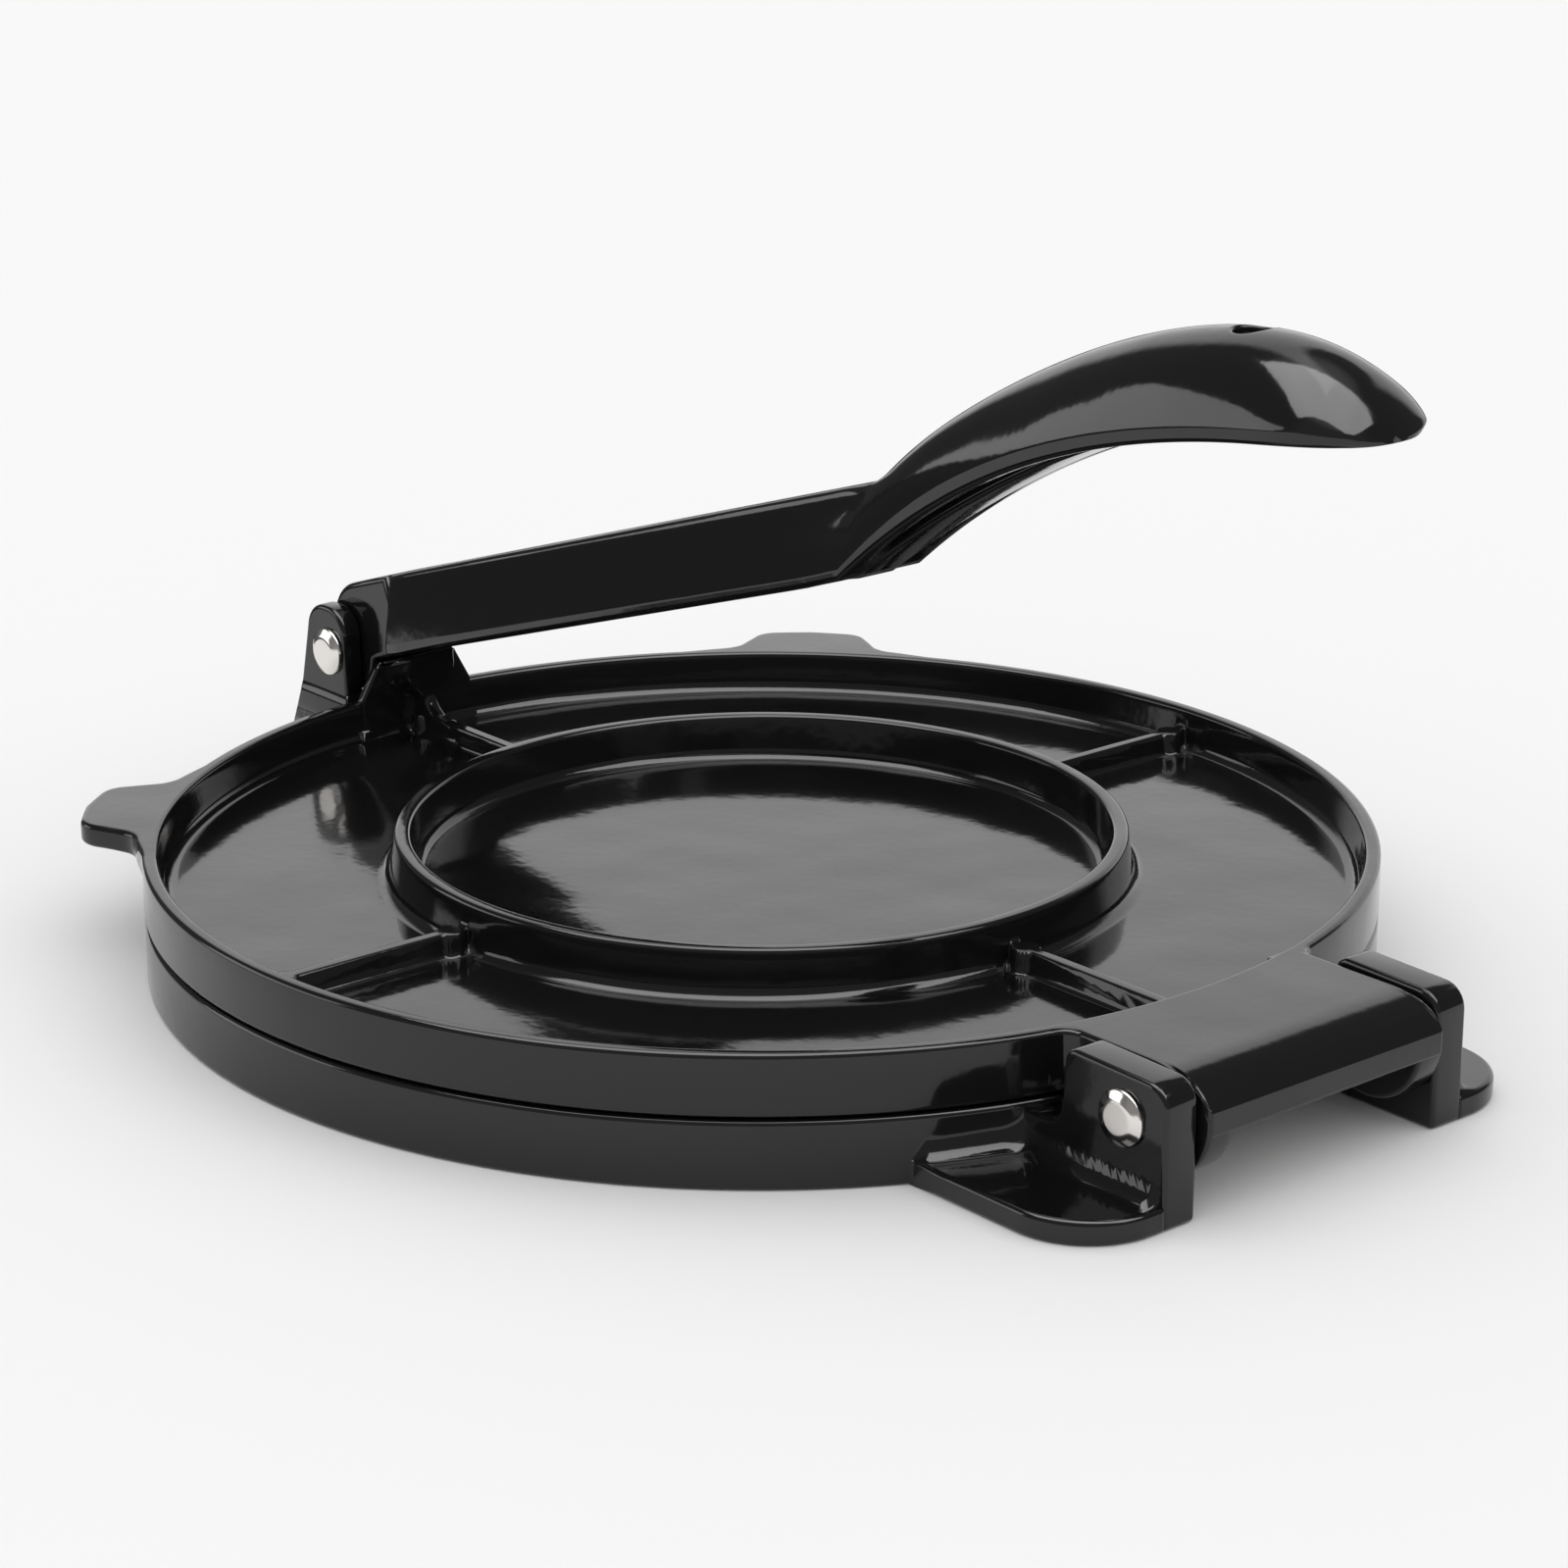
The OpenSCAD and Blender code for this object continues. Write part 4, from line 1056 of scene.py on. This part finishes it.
# %% Dark edge of the table
EDGE_X = -0.25
table_edge = studio_plane("table_edge", -STUDIO, -STUDIO, EDGE_X, STUDIO, 0.001)
dark, shader, _ = material("dark")
shader.inputs["Base Color"].default_value = (0.03, 0.03, 0.03, 1)
shader.inputs["Roughness"].default_value = 1.0
table_edge.data.materials.append(dark)
print("the table gets dark", -EDGE_X, "m behind the plates' centre")

# %% Room and its glow
ball = bpy.data.meshes.new("room")
work = bmesh.new()
bmesh.ops.create_uvsphere(work, u_segments=96, v_segments=48, radius=8.5)
work.to_mesh(ball)
work.free()
room = bpy.data.objects.new("room", ball)
bpy.context.scene.collection.objects.link(room)
made = bpy.data.materials.new("room")
made.use_nodes = True
made.node_tree.nodes.clear()
place = Value(made.node_tree, made.node_tree.nodes.new("ShaderNodeTexCoord").outputs["Object"])
way = place.node("ShaderNodeVectorMath", settings={"operation": "NORMALIZE"}, Vector=place)
flat = place.node("ShaderNodeVectorMath", settings={"operation": "MULTIPLY"}, n0=place, n1=(1, 1, 0))
round_about = place.node("ShaderNodeVectorMath", settings={"operation": "NORMALIZE"}, Vector=flat)


def towards(vector, azimuth, elevation, first, last):
    """1 where a direction is within the angle last of the given one, 0 beyond first, in degrees.

    The two directions' dot product is the cosine of the angle between them. A smooth step runs from
    the cosine of first to the cosine of last.
    """
    a, e = math.radians(azimuth), math.radians(elevation)
    axis = (math.cos(a) * math.cos(e), math.sin(a) * math.cos(e), math.sin(e))
    near = place.node("ShaderNodeVectorMath", "Value", {"operation": "DOT_PRODUCT"}, n0=vector, n1=axis)
    edges = {"From_Min": math.cos(math.radians(first)), "From_Max": math.cos(math.radians(last))}
    return place.node("ShaderNodeMapRange", 0, {"interpolation_type": "SMOOTHSTEP"}, Value=near, **edges)


backdrop = towards(round_about, 127, 0, 46, 33) * (1 - towards(way, 106, 54, 22, 15))
ceiling = towards(way, 0, 90, 38, 22)
glow = 0.13 + 1.05 * backdrop + 0.5 * ceiling + 0.12 * towards(round_about, -40, 0, 80, 50)
emission = place.node("ShaderNodeEmission", 0, Color=glow, Strength=1.0)
output = made.node_tree.nodes.new("ShaderNodeOutputMaterial")
emission.put(emission, output.inputs["Surface"])
ball.materials.append(made)
print("the glow is a sum of", len(made.node_tree.nodes), "nodes")

# %% Lamps that the gloss mirrors
def lamp(name, place, turn, size, glow):
    """A rectangular soft box of an even glow, turned by Euler angles in degrees.

    Its power is the glow times pi times its area, because each bit of it shines into half a ball.
    """
    light = bpy.data.lights.new(name, "AREA")
    light.shape, (light.size, light.size_y) = "RECTANGLE", size
    light.energy = glow * math.pi * size[0] * size[1]
    obj = bpy.data.objects.new(name, light)
    obj.location = place
    obj.rotation_euler = [math.radians(a) for a in turn]
    bpy.context.scene.collection.objects.link(obj)
    return obj


soft_box = lamp("soft_box", (0.40, 0.05, 1.3), (0, 0, 31), (2.4, 0.9), 4.3)
panel = lamp("panel", (-1.414, -1.342, 0.53), (90, 0, -46.5), (1.3, 0.9), 1.9)
for obj in (table_edge, room, soft_box, panel):
    only_mirrored(obj)
print("the gloss mirrors", ", ".join(obj.name for obj in (table_edge, room, soft_box, panel)))

# %% [markdown]
# The camera stands where the photograph's did, found by fitting the plates' ellipses and the hinge in
# it: on the hinge side, a little to the right, and looking down at about 18 degrees. Its long lens
# keeps the perspective calm.

# %% Camera
from mathutils import Vector

LOOK = Vector((-0.7237, 0.6138, -0.3154))
camera = bpy.data.objects.new("camera", bpy.data.cameras.new("camera"))
camera.data.lens, camera.data.sensor_width = 96, 36
camera.data.dof.use_dof = False
camera.location = (0.5184, -0.4347, 0.2540)
camera.rotation_euler = LOOK.to_track_quat("-Z", "Y").to_euler()
bpy.context.scene.collection.objects.link(camera)
bpy.context.scene.camera = camera
bpy.context.scene.view_settings.view_transform = "Standard"
print(f"the camera is {camera.location.length:.3f} m from the press, with a {camera.data.lens:.0f} mm lens")

# %% [markdown]
# The drawn press has to be as large as the CAD model. Here the scene is only brought up to date.

# %% Bringing the scene up to date
bpy.context.view_layer.update()
